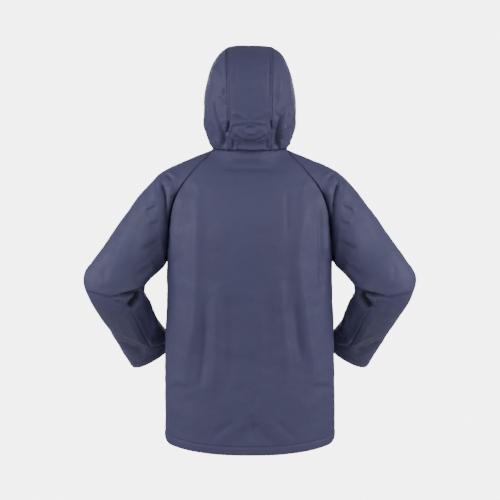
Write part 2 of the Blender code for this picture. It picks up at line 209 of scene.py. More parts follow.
# %% Body: the measured rows
# level, half_width, back, front, side_z, back_z, front_z, squareness
TORSO = (
    (0.00, 0.0950, 0.074, 0.085, 0.008, 0.000, -0.062, 2.00),
    (0.04, 0.1240, 0.086, 0.098, -0.004, -0.031, -0.085, 2.05),
    (0.09, 0.1640, 0.103, 0.115, -0.024, -0.069, -0.118, 2.10),
    (0.15, 0.1970, 0.120, 0.130, -0.058, -0.115, -0.155, 2.20),
    (0.22, 0.2080, 0.132, 0.142, -0.115, -0.170, -0.200, 2.30),
    (0.30, 0.2110, 0.137, 0.148, -0.195, -0.232, -0.250, 2.40),
    (0.37, 0.2125, 0.136, 0.150, -0.278, -0.288, -0.297, 2.40),
    (0.50, 0.2145, 0.131, 0.150, -0.385, -0.388, -0.388, 2.40),
    (0.65, 0.2165, 0.128, 0.149, -0.500, -0.503, -0.500, 2.40),
    (0.80, 0.2175, 0.131, 0.150, -0.605, -0.613, -0.605, 2.40),
    (1.00, 0.2175, 0.137, 0.152, -0.739, -0.758, -0.743, 2.40),
)
UNDERARM = 0.37
BODY_LENGTH = 0.76
# level, back_seam, front_seam, in degrees round from the side
RAGLAN = (
    (0.00, 18.0, -20.0),
    (0.04, 30.0, -32.0),
    (0.09, 35.0, -38.0),
    (0.15, 34.5, -38.0),
    (0.22, 24.5, -28.0),
    (0.30, 13.5, -17.0),
    (0.34, 10.0, -12.0),
    (0.37, 0.0, 0.0),
)
LAP = 32 * MM
HALF_LAP = LAP / 2
LAP_RISE = 3.4 * MM
LAP_EASE = 30 * MM


def torso(angle, level):
    """A point of the body: angle 0 at the wearer's left side, a quarter turn behind.

    x is the half width times cos(angle) and y the depth times sin(angle), each with its
    power, and z slides from the side's height to the back's or front's by sin squared.
    """
    row = np.moveaxis(through(TORSO, level), -1, 0)
    half, back, front, side_z, back_z, front_z, square = row
    behind = np.sin(angle) > 0
    x = half * signed_power(np.cos(angle), 2 / square)
    y = np.where(behind, back, front) * signed_power(np.sin(angle), 2 / square)
    z = side_z + (np.where(behind, back_z, front_z) - side_z) * np.sin(angle) ** 2
    return np.stack([x, y, z], axis=-1)


def raglan(levels):
    """Angles of the back and the front raglan seam, both 0 from the underarm down."""
    levels = np.asarray(levels, float)
    seams = np.radians(through(RAGLAN, np.clip(levels, 0, UNDERARM)))
    return np.where(levels >= UNDERARM, 0.0, np.moveaxis(seams, -1, 0))


print("width at the chest:", round(2 * float(torso(0.0, UNDERARM)[0]), 3), "m")

# %% [markdown]
# ## The body's sheets
# A tailor cuts one back and two fronts. Here each becomes a grid: its rows run across the
# cloth, from seam to seam, and its columns run down it. The rows stand closer together at
# the neck seam, the hem and the hem's stitching, where the cloth bends sharply. The left
# front runs half a lap past the middle and stands forward over the right one.

# %% Body: the grids
HEM = 20 * MM
ROW_STEP = 4.5 * MM
COLUMN_STEP = 4.3 * MM
# Crowds: (finer step, reach), and before them the place where it is fixed
SEAM_CROWD = (0.7 * MM, 5 * MM)
YOKE_CROWD = (32 * MM, 2.4 * MM, 22 * MM)
HEM_CROWD = (0.8 * MM, 4 * MM)
LAP_CROWD = (1.6 * MM, 12 * MM)
BACK_WIDTH, FRONT_WIDTH = 0.52, 0.29
OVERRUN = np.radians(-110.0)
FINE = 401

levels = stations(BODY_LENGTH, ROW_STEP, [
    (0.0, *SEAM_CROWD), YOKE_CROWD, (BODY_LENGTH - HEM, *HEM_CROWD), (BODY_LENGTH, *SEAM_CROWD)])
across = np.linspace(0, 1, FINE)


def columns(width, step, *crowds):
    """Shares across or down a sheet, closer together at both ends and at the crowds."""
    return stations(width, step, [(0, *SEAM_CROWD), (width, *SEAM_CROWD), *crowds])


def back_grid():
    """The back: at each level, angles from the right raglan seam round to the left one."""
    seam = raglan(levels)[0][:, None]
    rows = torso(np.pi - seam + (2 * seam - np.pi) * across, levels[:, None])
    return laid_out(rows, columns(BACK_WIDTH, COLUMN_STEP))


def front_grid():
    """The left front: from the side round to half a lap past the middle, cut straight."""
    seam = raglan(levels)[1][:, None]
    rows = torso(seam + (OVERRUN - seam) * across, levels[:, None])
    past = rows[..., 0] < -HALF_LAP
    last = np.argmax(past, axis=1)
    index = np.arange(len(rows))
    inner, outer = rows[index, last - 1], rows[index, last]
    share = ((inner[:, 0] + HALF_LAP) / (inner[:, 0] - outer[:, 0]))[:, None]
    rows = np.where(past[..., None], (inner + (outer - inner) * share)[:, None], rows)
    return laid_out(rows, columns(FRONT_WIDTH, COLUMN_STEP, (FRONT_WIDTH - LAP, *LAP_CROWD)))


def lapped_over(points):
    """The same sheet, stood forward near the middle so that it lies over the other front."""
    ease = smooth((HALF_LAP + LAP_EASE - points[..., 0]) / LAP_EASE)
    return points - LAP_RISE * ease[..., None] * np.array([0.0, 1.0, 0.0])


def mirrored(points):
    """The other side's sheet, its columns turned round so that it still faces out."""
    return points[:, ::-1] * np.array([-1.0, 1.0, 1.0])


back_base = back_grid()
front_base = front_grid()
print("back grid", back_base.shape[:2], "front grid", front_base.shape[:2])

# %% [markdown]
# ## The form of the sleeves
# A raglan sleeve is one tube that widens into a cap and runs up to the neck. The tube is an
# oval between the outer and the inner edge of the flattened sleeve, bent at the elbow
# because the hand rests on the hip. The cap is a fan of curves from the armhole seam to the
# tube's shoulder end, each leaving the seam along the body's cloth.

# %% Sleeve: the measured rows
# place, outer_x, outer_y, outer_z, inner_x, inner_y, inner_z, half_depth
SLEEVE = (
    (0.00, 0.2455, 0.000, -0.0620, 0.2200, 0.002, -0.2885, 0.080),
    (0.10, 0.2755, 0.005, -0.0950, 0.2225, 0.004, -0.2925, 0.077),
    (0.24, 0.3210, 0.015, -0.1575, 0.2310, 0.010, -0.3015, 0.073),
    (0.40, 0.3735, 0.030, -0.2362, 0.2490, 0.020, -0.3185, 0.069),
    (0.52, 0.4110, 0.042, -0.2920, 0.2660, 0.030, -0.3360, 0.066),
    (0.60, 0.4250, 0.050, -0.3320, 0.2720, 0.034, -0.3500, 0.064),
    (0.67, 0.4160, 0.045, -0.3620, 0.2700, 0.028, -0.3620, 0.061),
    (0.76, 0.3960, 0.022, -0.4060, 0.2580, 0.002, -0.3920, 0.056),
    (0.87, 0.3620, -0.025, -0.4690, 0.2400, -0.040, -0.4370, 0.048),
    (0.94, 0.3380, -0.060, -0.5190, 0.2205, -0.073, -0.4650, 0.041),
    (1.00, 0.3140, -0.090, -0.5615, 0.2010, -0.103, -0.4850, 0.035),
)
SLEEVE_LENGTH = 0.62
SEAM_LEVELS = (0.0, 0.02, 0.04, 0.065, 0.09, 0.12, 0.15, 0.185, 0.22, 0.26, 0.30, 0.335, 0.37)
SEAM_STEPS = len(SEAM_LEVELS) - 1
NECK_STEPS = 6
RING_STEPS = 2 * SEAM_STEPS + NECK_STEPS
NEAR_PLACE = 0.02


def arm(turn, place):
    """A point of the tube: turn 0 on its inner edge, a quarter behind, a half outside.

    The middle between both edges, minus half their distance times cos, plus the depth,
    which stands square to the tube's run, times sin.
    """
    row = through(SLEEVE, place)
    outer, inner, half_depth = row[..., 0:3], row[..., 3:6], row[..., 6:7]
    above = through(SLEEVE, np.clip(np.asarray(place) - NEAR_PLACE, 0, 1))
    below = through(SLEEVE, np.clip(np.asarray(place) + NEAR_PLACE, 0, 1))
    along = (below[..., 0:3] + below[..., 3:6]) - (above[..., 0:3] + above[..., 3:6])
    wide = (outer - inner) / 2
    deep = unit(np.cross(along, wide))
    deep = deep * np.where(deep[..., 1:2] < 0, -half_depth, half_depth)
    round_ = 2 * np.pi * np.asarray(turn)[..., None]
    return (outer + inner) / 2 - wide * np.cos(round_) + deep * np.sin(round_)


print("elbow's outer corner:", np.round(arm(0.5, 0.6), 3))

# %% Sleeve: the armhole and the cap
CAP_LENGTH = 0.10
CAP_LEAVE = 0.8
CAP_ARRIVE = 0.75
NEAR_ANGLE = 1e-3
NEAR_TURN = 0.03
# How the cloth leaves the armhole, as shares that change from the shoulder to the underarm
FOLLOW, FOLLOW_MOST = 1.1, 0.85
LIFT_TOP, LIFT_TOP_BY = 0.12, 0.2
LIFT_UNDER, LIFT_UNDER_FROM, LIFT_UNDER_BY = 0.9, 0.45, 0.4


def armhole(index):
    """Angle and level of the armhole seam, at index 0 to RING_STEPS round it.

    It runs from the underarm up the back raglan seam, along the neck and down in front.
    """
    rise = [(k, SEAM_LEVELS[SEAM_STEPS - k]) for k in range(SEAM_STEPS + 1)]
    to_end = np.minimum(index, RING_STEPS - index)
    level = np.clip(through(rise, np.clip(to_end, 0, SEAM_STEPS))[..., 0], 0, UNDERARM)
    back, front = raglan(level)
    share = np.clip((index - SEAM_STEPS) / NECK_STEPS, 0, 1)
    neck = back + (front - back) * share
    on_back, on_front = index <= SEAM_STEPS, index >= SEAM_STEPS + NECK_STEPS
    return np.where(on_back, back, np.where(on_front, front, neck)), level


def cap_leave():
    """The way the cloth leaves each of the armhole's seam points, evened out round the ring.

    It is a mix of the way along the body's cloth and the way to the arm, lifted outwards.
    """
    index = np.arange(RING_STEPS)
    angle, level = armhole(index)
    seam = torso(angle, level)
    round_ = unit(torso(angle + NEAR_ANGLE, level) - torso(angle - NEAR_ANGLE, level))
    down = unit(torso(angle, level + NEAR_PLACE) - seam)
    out = unit(np.cross(down, round_))
    on_neck = ((index >= SEAM_STEPS) & (index <= SEAM_STEPS + NECK_STEPS))[:, None]
    side = np.where(index < SEAM_STEPS + NECK_STEPS // 2 + 1, -1.0, 1.0)[:, None]
    turn = index / RING_STEPS
    chord = arm(turn, np.zeros(RING_STEPS)) - seam
    from_top = np.abs(turn - 0.5)[:, None] * 2
    follow = np.clip(FOLLOW - FOLLOW * from_top, 0.0, FOLLOW_MOST)
    lift = (LIFT_TOP * np.clip(from_top / LIFT_TOP_BY, 0, 1) + LIFT_UNDER
            * np.clip(from_top - LIFT_UNDER_FROM, 0, LIFT_UNDER_BY) / LIFT_UNDER_BY)
    leave = unit(np.where(on_neck, down, round_ * side) * follow
                 + unit(chord) * (1 - follow) + out * lift)
    for _ in range(2):
        leave = unit(np.roll(leave, 1, axis=0) + 2 * leave + np.roll(leave, -1, axis=0))
    return leave


SEAM_CROWDING = 2.8


def on_seam(index):
    """Where on the armhole the column of an index starts.

    The columns stand closer together towards the underarm, by a power of their share, so
    that each one leaves the seam squarely instead of running down beside it.
    """
    half = RING_STEPS / 2
    share = np.minimum(index, RING_STEPS - index) / SEAM_STEPS
    near = np.where(share < 1, SEAM_STEPS * np.clip(share, 0, 1) ** SEAM_CROWDING,
                    np.minimum(index, RING_STEPS - index))
    return np.where(index < half, near, RING_STEPS - near)


def cap(index, s):
    """Curves from the armhole to the tube's shoulder end, one for each index, at shares s."""
    knots = np.arange(-3, RING_STEPS + 4)
    wrapped = np.column_stack([knots, cap_leave()[knots % RING_STEPS]])
    turn, index = index / RING_STEPS, on_seam(index)
    leave = unit(through(wrapped, index))
    seam = torso(*armhole(index))
    ring = arm(turn, 0 * turn)
    reach = np.linalg.norm(ring - seam, axis=-1, keepdims=True)
    arrive = unit(arm(turn, 0 * turn + NEAR_TURN) - ring)
    return hermite(seam, leave * reach * CAP_LEAVE, ring, arrive * reach * CAP_ARRIVE,
                   s[:, None, None])


armhole_line = torso(*armhole(np.arange(RING_STEPS + 1)))
print("armhole seam, all round:", round(float(run_along(armhole_line)[-1]), 3), "m")

# %% Sleeve: the cloth drawn tight under the arm
EVEN_STEPS = 500
EVEN_PULL = 0.9
# How far round from the inner edge the cloth moves, and over what share that fades
EVEN_TURN, EVEN_FADE, INNER_HOLD = 0.34, 0.12, 0.035
# Rows of the tube that move, rows over which that fades, and rows held at the seam
EVEN_ROWS, LOWER_FADE, SEAM_ROWS, SEAM_FADE = 14, 12, 8, 14
SWELL = 0.015 * MM


def evened(points, shares, turn, fixed_rows):
    """The cap with its lower part drawn tight, as cloth is between an armhole and an arm.

    Each point moves towards the mean of its four neighbours, again and again, with a slight
    swelling away from the arm. Rows that stand close together pull harder. The seam, the
    shoulder and the tube hold still.
    """
    gap = np.diff(shares)
    above, below = gap[1:] / (gap[1:] + gap[:-1]), gap[:-1] / (gap[1:] + gap[:-1])
    above, below = above[:, None, None], below[:, None, None]
    from_under = np.minimum(turn, 1 - turn)[None, :, None]
    row = np.arange(1, len(points) - 1)[:, None, None]
    free = smooth((EVEN_TURN - from_under) / EVEN_FADE) * smooth((fixed_rows - row) / LOWER_FADE)
    free = (EVEN_PULL * free * smooth((row - SEAM_ROWS) / SEAM_FADE)
            * smooth(from_under / INNER_HOLD))
    swell = SWELL * np.sin(2 * np.pi * turn)
    points = points.copy()
    for _ in range(EVEN_STEPS):
        ring = points[1:-1, :-1]
        beside = (np.roll(ring, 1, axis=1) + np.roll(ring, -1, axis=1)) / 2
        beside = np.concatenate([beside, beside[:, :1]], axis=1)
        mean = (points[:-2] * above + points[2:] * below + beside) / 2
        points[1:-1] += free * (mean - points[1:-1])
        points[1:-1, :, 1] += free[..., 0] * swell
    return points


print("rounds of evening:", EVEN_STEPS)

# %% Sleeve: the grid
HALF_TURN = 0.5
# Columns of the half behind and of the front half: step and crowd, in turns
BEHIND_COLUMNS = (0.0054, [(0.37, 0.0028, 0.07)])
FRONT_COLUMNS = (0.0085, [(0.13, 0.0050, 0.07)])
CAP_ROWS = (2.1 * MM, [(0, 0.6 * MM, 4 * MM)])
TUBE_STEP = 4.0 * MM
ELBOW, ELBOW_CROWD = 0.60 * SLEEVE_LENGTH, (2.0 * MM, 30 * MM)
FOREARM, FOREARM_CROWD = 0.78 * SLEEVE_LENGTH, (3.2 * MM, 50 * MM)
CUFF_CROWD = (0.9 * MM, 3.5 * MM)


def sleeve_grid():
    """The left sleeve: the cap's rows, then the tube's. The last column repeats the first.

    The half behind, where the arm's folds are small, has more columns than the front half.
    """
    behind = stations(HALF_TURN, *BEHIND_COLUMNS) / 2
    in_front = HALF_TURN + stations(HALF_TURN, *FRONT_COLUMNS) / 2
    index = RING_STEPS * np.concatenate([behind[:-1], in_front])
    cap_shares = stations(CAP_LENGTH, *CAP_ROWS)[:-1]
    places = stations(SLEEVE_LENGTH, TUBE_STEP, [
        (ELBOW, *ELBOW_CROWD), (FOREARM, *FOREARM_CROWD),
        (SLEEVE_LENGTH - HEM, *CUFF_CROWD), (SLEEVE_LENGTH, *SEAM_CROWD)])
    tube = arm(index[None, :] / RING_STEPS, places[:, None])
    shares = np.concatenate([cap_shares * CAP_LENGTH, CAP_LENGTH + places * SLEEVE_LENGTH])
    return evened(np.concatenate([cap(index, cap_shares), tube]), shares,
                  index / RING_STEPS, len(cap_shares) + EVEN_ROWS)


sleeve_base = sleeve_grid()
print("sleeve grid", sleeve_base.shape[:2])

# %% [markdown]
# ## The form of the hood
# The hood is a fan of flat ovals that spread from the throat, the first one on the neck seam
# and the last one on the face edge. Its far side is squared off, so a flat strip runs from
# the nape over the crown, with a side panel on each hand: the three-piece hood of most
# rainwear, where the strip's width gives the head its room.

# %% Hood: the measured rows
# place, far_y, far_z, near_y, near_z, half_width, upright_power, crosswise_power
HOOD = (
    (0.00, 0.074, 0.000, -0.085, -0.062, 0.0950, 2.00, 2.0),
    (0.08, 0.093, 0.022, -0.089, -0.055, 0.1005, 2.00, 2.2),
    (0.18, 0.114, 0.062, -0.093, -0.045, 0.1080, 1.90, 2.5),
    (0.30, 0.127, 0.115, -0.096, -0.034, 0.1140, 1.80, 2.9),
    (0.42, 0.128, 0.172, -0.099, -0.023, 0.1185, 1.55, 3.5),
    (0.54, 0.106, 0.228, -0.102, -0.012, 0.1205, 1.40, 4.0),
    (0.66, 0.060, 0.264, -0.105, -0.002, 0.1210, 1.32, 4.3),
    (0.78, -0.005, 0.277, -0.108, 0.008, 0.1195, 1.32, 4.3),
    (0.89, -0.078, 0.270, -0.111, 0.015, 0.1155, 1.40, 3.9),
    (1.00, -0.145, 0.250, -0.114, 0.020, 0.1075, 1.55, 3.3),
)
NECK_BLEND = 0.60
HOOD_STRIP = ((0.0, 0.053), (0.3, 0.056), (0.6, 0.058), (1.0, 0.056))
HOOD_LENGTH = 0.50
HOOD_STEP = 3.6 * MM
NAPE_CROWD = (40 * MM, 2.0 * MM, 40 * MM)
# Widths and steps of the side panel and the strip, and the panel's crowd near the strip
SIDE_WIDTH, SIDE_STEP = 0.30, 3.0 * MM
SIDE_CROWD = (0.26, 2.0 * MM, 25 * MM)
STRIP_WIDTH, STRIP_STEP = 0.112, 2.1 * MM


def oval(round_, place):
    """A point of one flat oval: round 0 at the throat, pi over the head."""
    row = np.moveaxis(through(HOOD, place), -1, 0)
    far_y, far_z, near_y, near_z, half, upright, crosswise = row
    far = np.cos(round_) < 0
    along = 0.5 - 0.5 * signed_power(np.cos(round_), 2 / np.where(far, upright, 2.0))
    x = half * signed_power(np.sin(round_), 2 / np.where(far, crosswise, 2.0))
    return np.stack([x + 0 * along, near_y + (far_y - near_y) * along,
                     near_z + (far_z - near_z) * along], axis=-1)


def hood(round_, place):
    """The fan's oval, bent near the neck to meet the body's neck seam."""
    fade = 1 - smooth(place / NECK_BLEND)
    neck = torso(round_ - np.pi / 2, np.zeros(np.shape(round_)))
    return oval(round_, place) + (neck - oval(round_, 0 * place)) * fade[..., None]


place = columns(HOOD_LENGTH, HOOD_STEP, NAPE_CROWD)[:, None]
strip_half = through(HOOD_STRIP, place)[..., 0]
hood_half, crosswise = through(HOOD, place)[..., 4], through(HOOD, place)[..., 6]
strip_edge = np.pi - np.arcsin((strip_half / hood_half) ** (crosswise / 2))
throat_edge = -np.arcsin(HALF_LAP / hood_half)

side_rows = hood(throat_edge + (strip_edge - throat_edge) * across, place + 0 * across)
side_base = laid_out(side_rows, columns(SIDE_WIDTH, SIDE_STEP, SIDE_CROWD))
left_half = hood(strip_edge + (np.pi - strip_edge) * across, place + 0 * across)
strip_rows = np.concatenate([left_half, left_half[:, -2::-1] * [-1.0, 1.0, 1.0]], axis=1)
strip_base = laid_out(strip_rows, columns(STRIP_WIDTH, STRIP_STEP))
print("hood side grid", side_base.shape[:2], "strip grid", strip_base.shape[:2])

# %% [markdown]
# ## Which way is out, and how far to each edge
# Folds push the cloth along its normal, and seams need to know how far each point is from
# the edge. Both come from the grid itself: the normal is the step across crossed with the
# step down, and the distances are running sums of the steps.

# %% Measuring a sheet
def normals_of(points, tube=False):
    """The way out of the cloth: the step across the rows crossed with the step down them."""
    if tube:
        wide = np.concatenate([points[:, -2:-1], points, points[:, 1:2]], axis=1)
        sideways = np.gradient(wide, axis=1)[:, 1:-1]
    else:
        sideways = np.gradient(points, axis=1)
    return unit(np.cross(sideways, np.gradient(points, axis=0)))


def edges_of(points):
    """How far each point lies from the sheet's four edges, along the cloth."""
    left, top = running(points, 1), running(points, 0)
    return {"left": left, "right": left[:, -1:] - left, "top": top, "bottom": top[-1:] - top}


for name, grid in (("back", back_base), ("front", front_base), ("strip", strip_base)):
    away = np.sum(normals_of(grid) * (grid - grid.mean(axis=(0, 1))), axis=2)
    print(name, "faces out:", round(float((away > 0).mean()), 2))

# %% [markdown]
# ## The sheets and their edges
# Every sheet needs to know which of its edges are sewn to a neighbour and which are free.
# Two neighbours must also agree on which way is out along their common seam, or a fold that
# crosses it would tear it open. So each sewn edge takes the mean of both sheets' normals.

# %% The sheets
SEWN = ("seam", "neck", "ridge")


def kinds_of(left, right):
    """What a sheet's edges are: its sides as given, the neck seam above and a hem below."""
    return {"left": left, "right": right, "top": "neck", "bottom": "hem"}


SLEEVE_KINDS = {"top": "seam", "bottom": "hem"}

# name: (smooth sheet, the kind of each edge)
SHEETS = {
    "back_panel": (back_base, kinds_of("seam", "seam")),
    "front_left": (lapped_over(front_base), kinds_of("seam", "lap")),
    "front_right": (mirrored(front_base), kinds_of("lap", "seam")),
    "sleeve_left": (sleeve_base, SLEEVE_KINDS),
    "sleeve_right": (mirrored(sleeve_base), SLEEVE_KINDS),
    "hood_left": (lapped_over(side_base), kinds_of("lap", "ridge")),
    "hood_right": (mirrored(side_base), kinds_of("ridge", "lap")),
    "hood_centre": (strip_base, kinds_of("ridge", "ridge")),
}
print("sheets:", ", ".join(SHEETS))

# %% The way out, agreed along the seams
EDGE_INDEX = {"left": np.s_[:, 0], "right": np.s_[:, -1], "top": np.s_[0], "bottom": np.s_[-1]}
# How near two sheets' points meet, the least weight of a meeting, and how far in it is felt
MEET, MET, AGREE = 2.5 * MM, 1e-3, 8 * MM


def is_tube(name):
    """Whether a sheet closes on itself: its last column repeats the first."""
    return name.startswith("sleeve")


def agreed_normals():
    """Each sheet's way out, turned near its sewn edges towards the mean of both sheets'."""
    own = {name: normals_of(base, is_tube(name)) for name, (base, _) in SHEETS.items()}
    sewn = {name: [EDGE_INDEX[edge] for edge, kind in kinds.items() if kind in SEWN]
            for name, (_, kinds) in SHEETS.items()}
    agreed = {}
    for name, (base, kinds) in SHEETS.items():
        there = np.concatenate([SHEETS[other][0][k] for other in SHEETS if other != name
                                for k in sewn[other]])
        ways = np.concatenate([own[other][k] for other in SHEETS if other != name
                               for k in sewn[other]])
        far, result = edges_of(base), own[name]
        for edge, kind in kinds.items():
            if kind not in SEWN:
                continue
            index = EDGE_INDEX[edge]
            gap = np.linalg.norm(base[index][:, None] - there[None], axis=2)
            weight = bell(gap, MEET / 2)
            total = weight.sum(axis=1, keepdims=True)
            beyond = (weight @ ways) / np.maximum(total, TINY)
            shared = unit(own[name][index] + beyond * (total > MET))
            shared = shared[:, None] if edge in ("left", "right") else shared[None]
            near = bell(far[edge], AGREE)[..., None]
            result = unit(result * (1 - near) + shared * near)
        agreed[name] = result
    return agreed


outward = agreed_normals()
print("sewn edges:", sum(kind in SEWN for _, kinds in SHEETS.values() for kind in kinds.values()))

# %% [markdown]
# ## Folds
# Cloth that hangs from shoulders makes long soft ridges, and where it is pushed together, at
# the armpit, the elbow and the nape, it makes short deep creases. A sculptor would brush them
# in. Here a fold is a line over the cloth with a cross-section: a bell that stands out or
# sinks in, a step from one side to the other, and a slide that lets one side lie over the
# other, as in a tuck. Every fold fades out at both ends.

# %% Folds: the brush
# view: axis that runs across it, axis of its depth, and the side of that axis that is seen
VIEWS = {"behind": (0, 1, 1), "front": (0, 1, -1), "left": (1, 0, 1), "right": (1, 0, -1)}
LINE_POINTS = 25
# The least part of a normal that faces the viewer, and a fold's reach in its own widths
FACING, FOLD_REACH = 0.05, 3.2
STEP_SLOPE, STEP_SPREAD = 3, 0.45


def fold_line(view, sheets, spots):
    """A fold's line on the cloth, from spots in millimetres as they are seen in one view.

    A smooth curve runs through the spots. Each of its points then takes its depth from the
    nearest point of those sheets that faces the viewer, and the depths are evened out.
    """
    wide, deep, sign = VIEWS[view]
    points = np.concatenate([SHEETS[name][0].reshape(-1, 3) for name in sheets])
    normals = np.concatenate([outward[name].reshape(-1, 3) for name in sheets])
    spots = np.asarray(spots, float) * MM
    run = run_along(spots)
    flat = through(np.column_stack([run, spots]), np.linspace(0, run[-1], LINE_POINTS))
    there = points[normals[:, deep] * sign > FACING]
    gap = (there[None, :, wide] - flat[:, :1]) ** 2 + (there[None, :, 2] - flat[:, 1:]) ** 2
    depth = there[np.argmin(gap, axis=1), deep]
    depth[1:-1] = (depth[:-2] + 2 * depth[1:-1] + depth[2:]) / 4
    line = np.empty((LINE_POINTS, 3))
    line[:, wide], line[:, 2], line[:, deep] = flat[:, 0], flat[:, 1], depth
    return line


def fold_shift(points, normals, line, width, ridge, step, slide, fade_in, fade_out):
    """How one fold moves the cloth.

    With d the signed distance to the line over the fold's width and g = exp(-d * d): the
    cloth rises by ridge * g plus step * tanh(3 d) * g^0.45 / 2, and slides across the line by
    -slide * d * g. Both are scaled by smooth ramps that fade the fold in and out along it.
    """
    shift = np.zeros_like(points)
    reach = FOLD_REACH * width
    near = np.all((points > line.min(0) - reach) & (points < line.max(0) + reach), axis=2)
    if not near.any():
        return shift
    start, run = line[:-1], np.diff(line, axis=0)
    part = np.linalg.norm(run, axis=1)
    off = points[near][:, None, :] - start
    share = np.clip(np.sum(off * run, axis=2) / part ** 2, 0, 1)
    gap = off - share[..., None] * run
    nearest = np.argmin(np.sum(gap * gap, axis=2), axis=1)
    pick = np.arange(len(nearest)), nearest
    along = (np.concatenate([[0], np.cumsum(part)])[nearest] + share[pick] * part[nearest])
    along = along / part.sum()
    gap = gap[pick]
    side = unit(np.cross(run[nearest], normals[near]))
    d = np.sum(gap * side, axis=1) / width
    g = np.exp(-np.sum(gap * gap, axis=1) / width ** 2)
    rise = ridge * g + step * np.tanh(STEP_SLOPE * d) * g ** STEP_SPREAD / 2
    ramps = smooth(along / fade_in) * smooth((1 - along) / fade_out)
    shift[near] = (normals[near] * (rise * ramps)[:, None]
                   - side * (slide * d * g * ramps)[:, None])
    return shift


print("points on each fold's line:", LINE_POINTS)

# %% Folds of the back
# width, ridge, [step, slide, fade_in, fade_out], (across, up) spots: all in millimetres but
# the two fades, which are shares of the line. A row without its list is PLAIN.
PLAIN = [0, 0, 0.3, 0.3]
BACK_FOLDS = (
    (16, 7.6, [0, 0, 0.25, 0.25], (133, -79), (131, -163), (132, -256), (135, -351), (141, -446),
     (152, -507), (160, -588)),
    (13, 6.6, [0, 0, 0.3, 0.25], (81, -321), (81, -388), (83, -450), (84, -530), (94, -625)),
    (9, -4.4, [0, 0, 0.35, 0.25], (109, -361), (110, -451), (117, -538), (127, -606)),
    (17, -5, (52, -340), (52, -450), (52, -525), (54, -624)),
    (16, 7.6, [0, 0, 0.25, 0.25], (-141, -90), (-136, -163), (-123, -241), (-123, -316),
     (-137, -391), (-146, -477), (-159, -542), (-164, -598)),
    (13, 6.6, [0, 0, 0.3, 0.25], (-73, -281), (-76, -338), (-83, -413), (-90, -488), (-93, -585)),
    (7, -2.6, (-95, -90), (-94, -151), (-95, -226)),
    (9, -4.6, (-109, -361), (-115, -413), (-122, -476), (-133, -546)),
    (17, -4.6, (-53, -345), (-50, -475), (-50, -614)),
    (14, -8, [-1, 0, 0.3, 0.3], (90, -42), (50, -39), (-1, -40), (-46, -39), (-97, -44)),
    (7, 2.6, (60, -18), (-1, -20), (-46, -17)),
    (5, 1.2, (-28, -19), (-46, -11), (-64, -8)),
    (11, 0, [-4.5, 0, 0.3, 0.3], (206, -593), (181, -587), (150, -592)),
    (11, 0, [-4.5, 0, 0.3, 0.3], (-154, -592), (-180, -587), (-208, -593)),
    (7, -1.8, [0, 0, 0.25, 0.3], (-11, -654), (7, -683), (42, -715)),
    (20, -1.5, [-7, 0, 0.4, 0.4], (59, -738), (24, -708), (-11, -678), (-45, -708), (-85, -738)),
    (10, -3.6, [0, 0, 0.3, 0.25], (-11, -644), (-8, -683), (-11, -733)),
    (10, -5.5, [0, 0, 0.25, 0.25], (-179, -119), (-179, -200), (-181, -281), (-185, -373)),
    (9, -2.5, [0, 0, 0.3, 0.25], (-83, -336), (-89, -420), (-93, -500)),
    (7, -1.8, [0, 0, 0.25, 0.3], (-12, -654), (-33, -683), (-68, -716)),
    (7, -2.6, [0, 0, 0.35, 0.2], (-11, -594), (-11, -656)),
    (9, -2.8, (104, -722), (69, -698), (34, -666)),
    (9, -2.6, (-120, -723), (-90, -699), (-60, -671)),
    (7, 1.2, (152, -63), (133, -90), (120, -126)),
    (8, -1.6, (174, -99), (159, -79), (136, -64)),
    (8, 1.4, (-150, -68), (-134, -100), (-126, -141)),
    (3.4, -4, [0, 0, 0.4, 0.4], (37, -1), (-1, -4), (-39, -1)),
    (6, 1.2, (200, -160), (197, -226), (201, -302)),
    (6, 1.2, (-200, -160), (-197, -226), (-201, -302)),
    (9, -1.4, (181, -200), (180, -281), (187, -378)),
    (9, -1.4, (-181, -200), (-180, -281), (-188, -378)),
    (10, 1, (-6, -375), (-21, -420), (-30, -487)),
    (9, -1, (17, -251), (9, -350), (14, -450)),
)
print("folds of the back:", len(BACK_FOLDS))

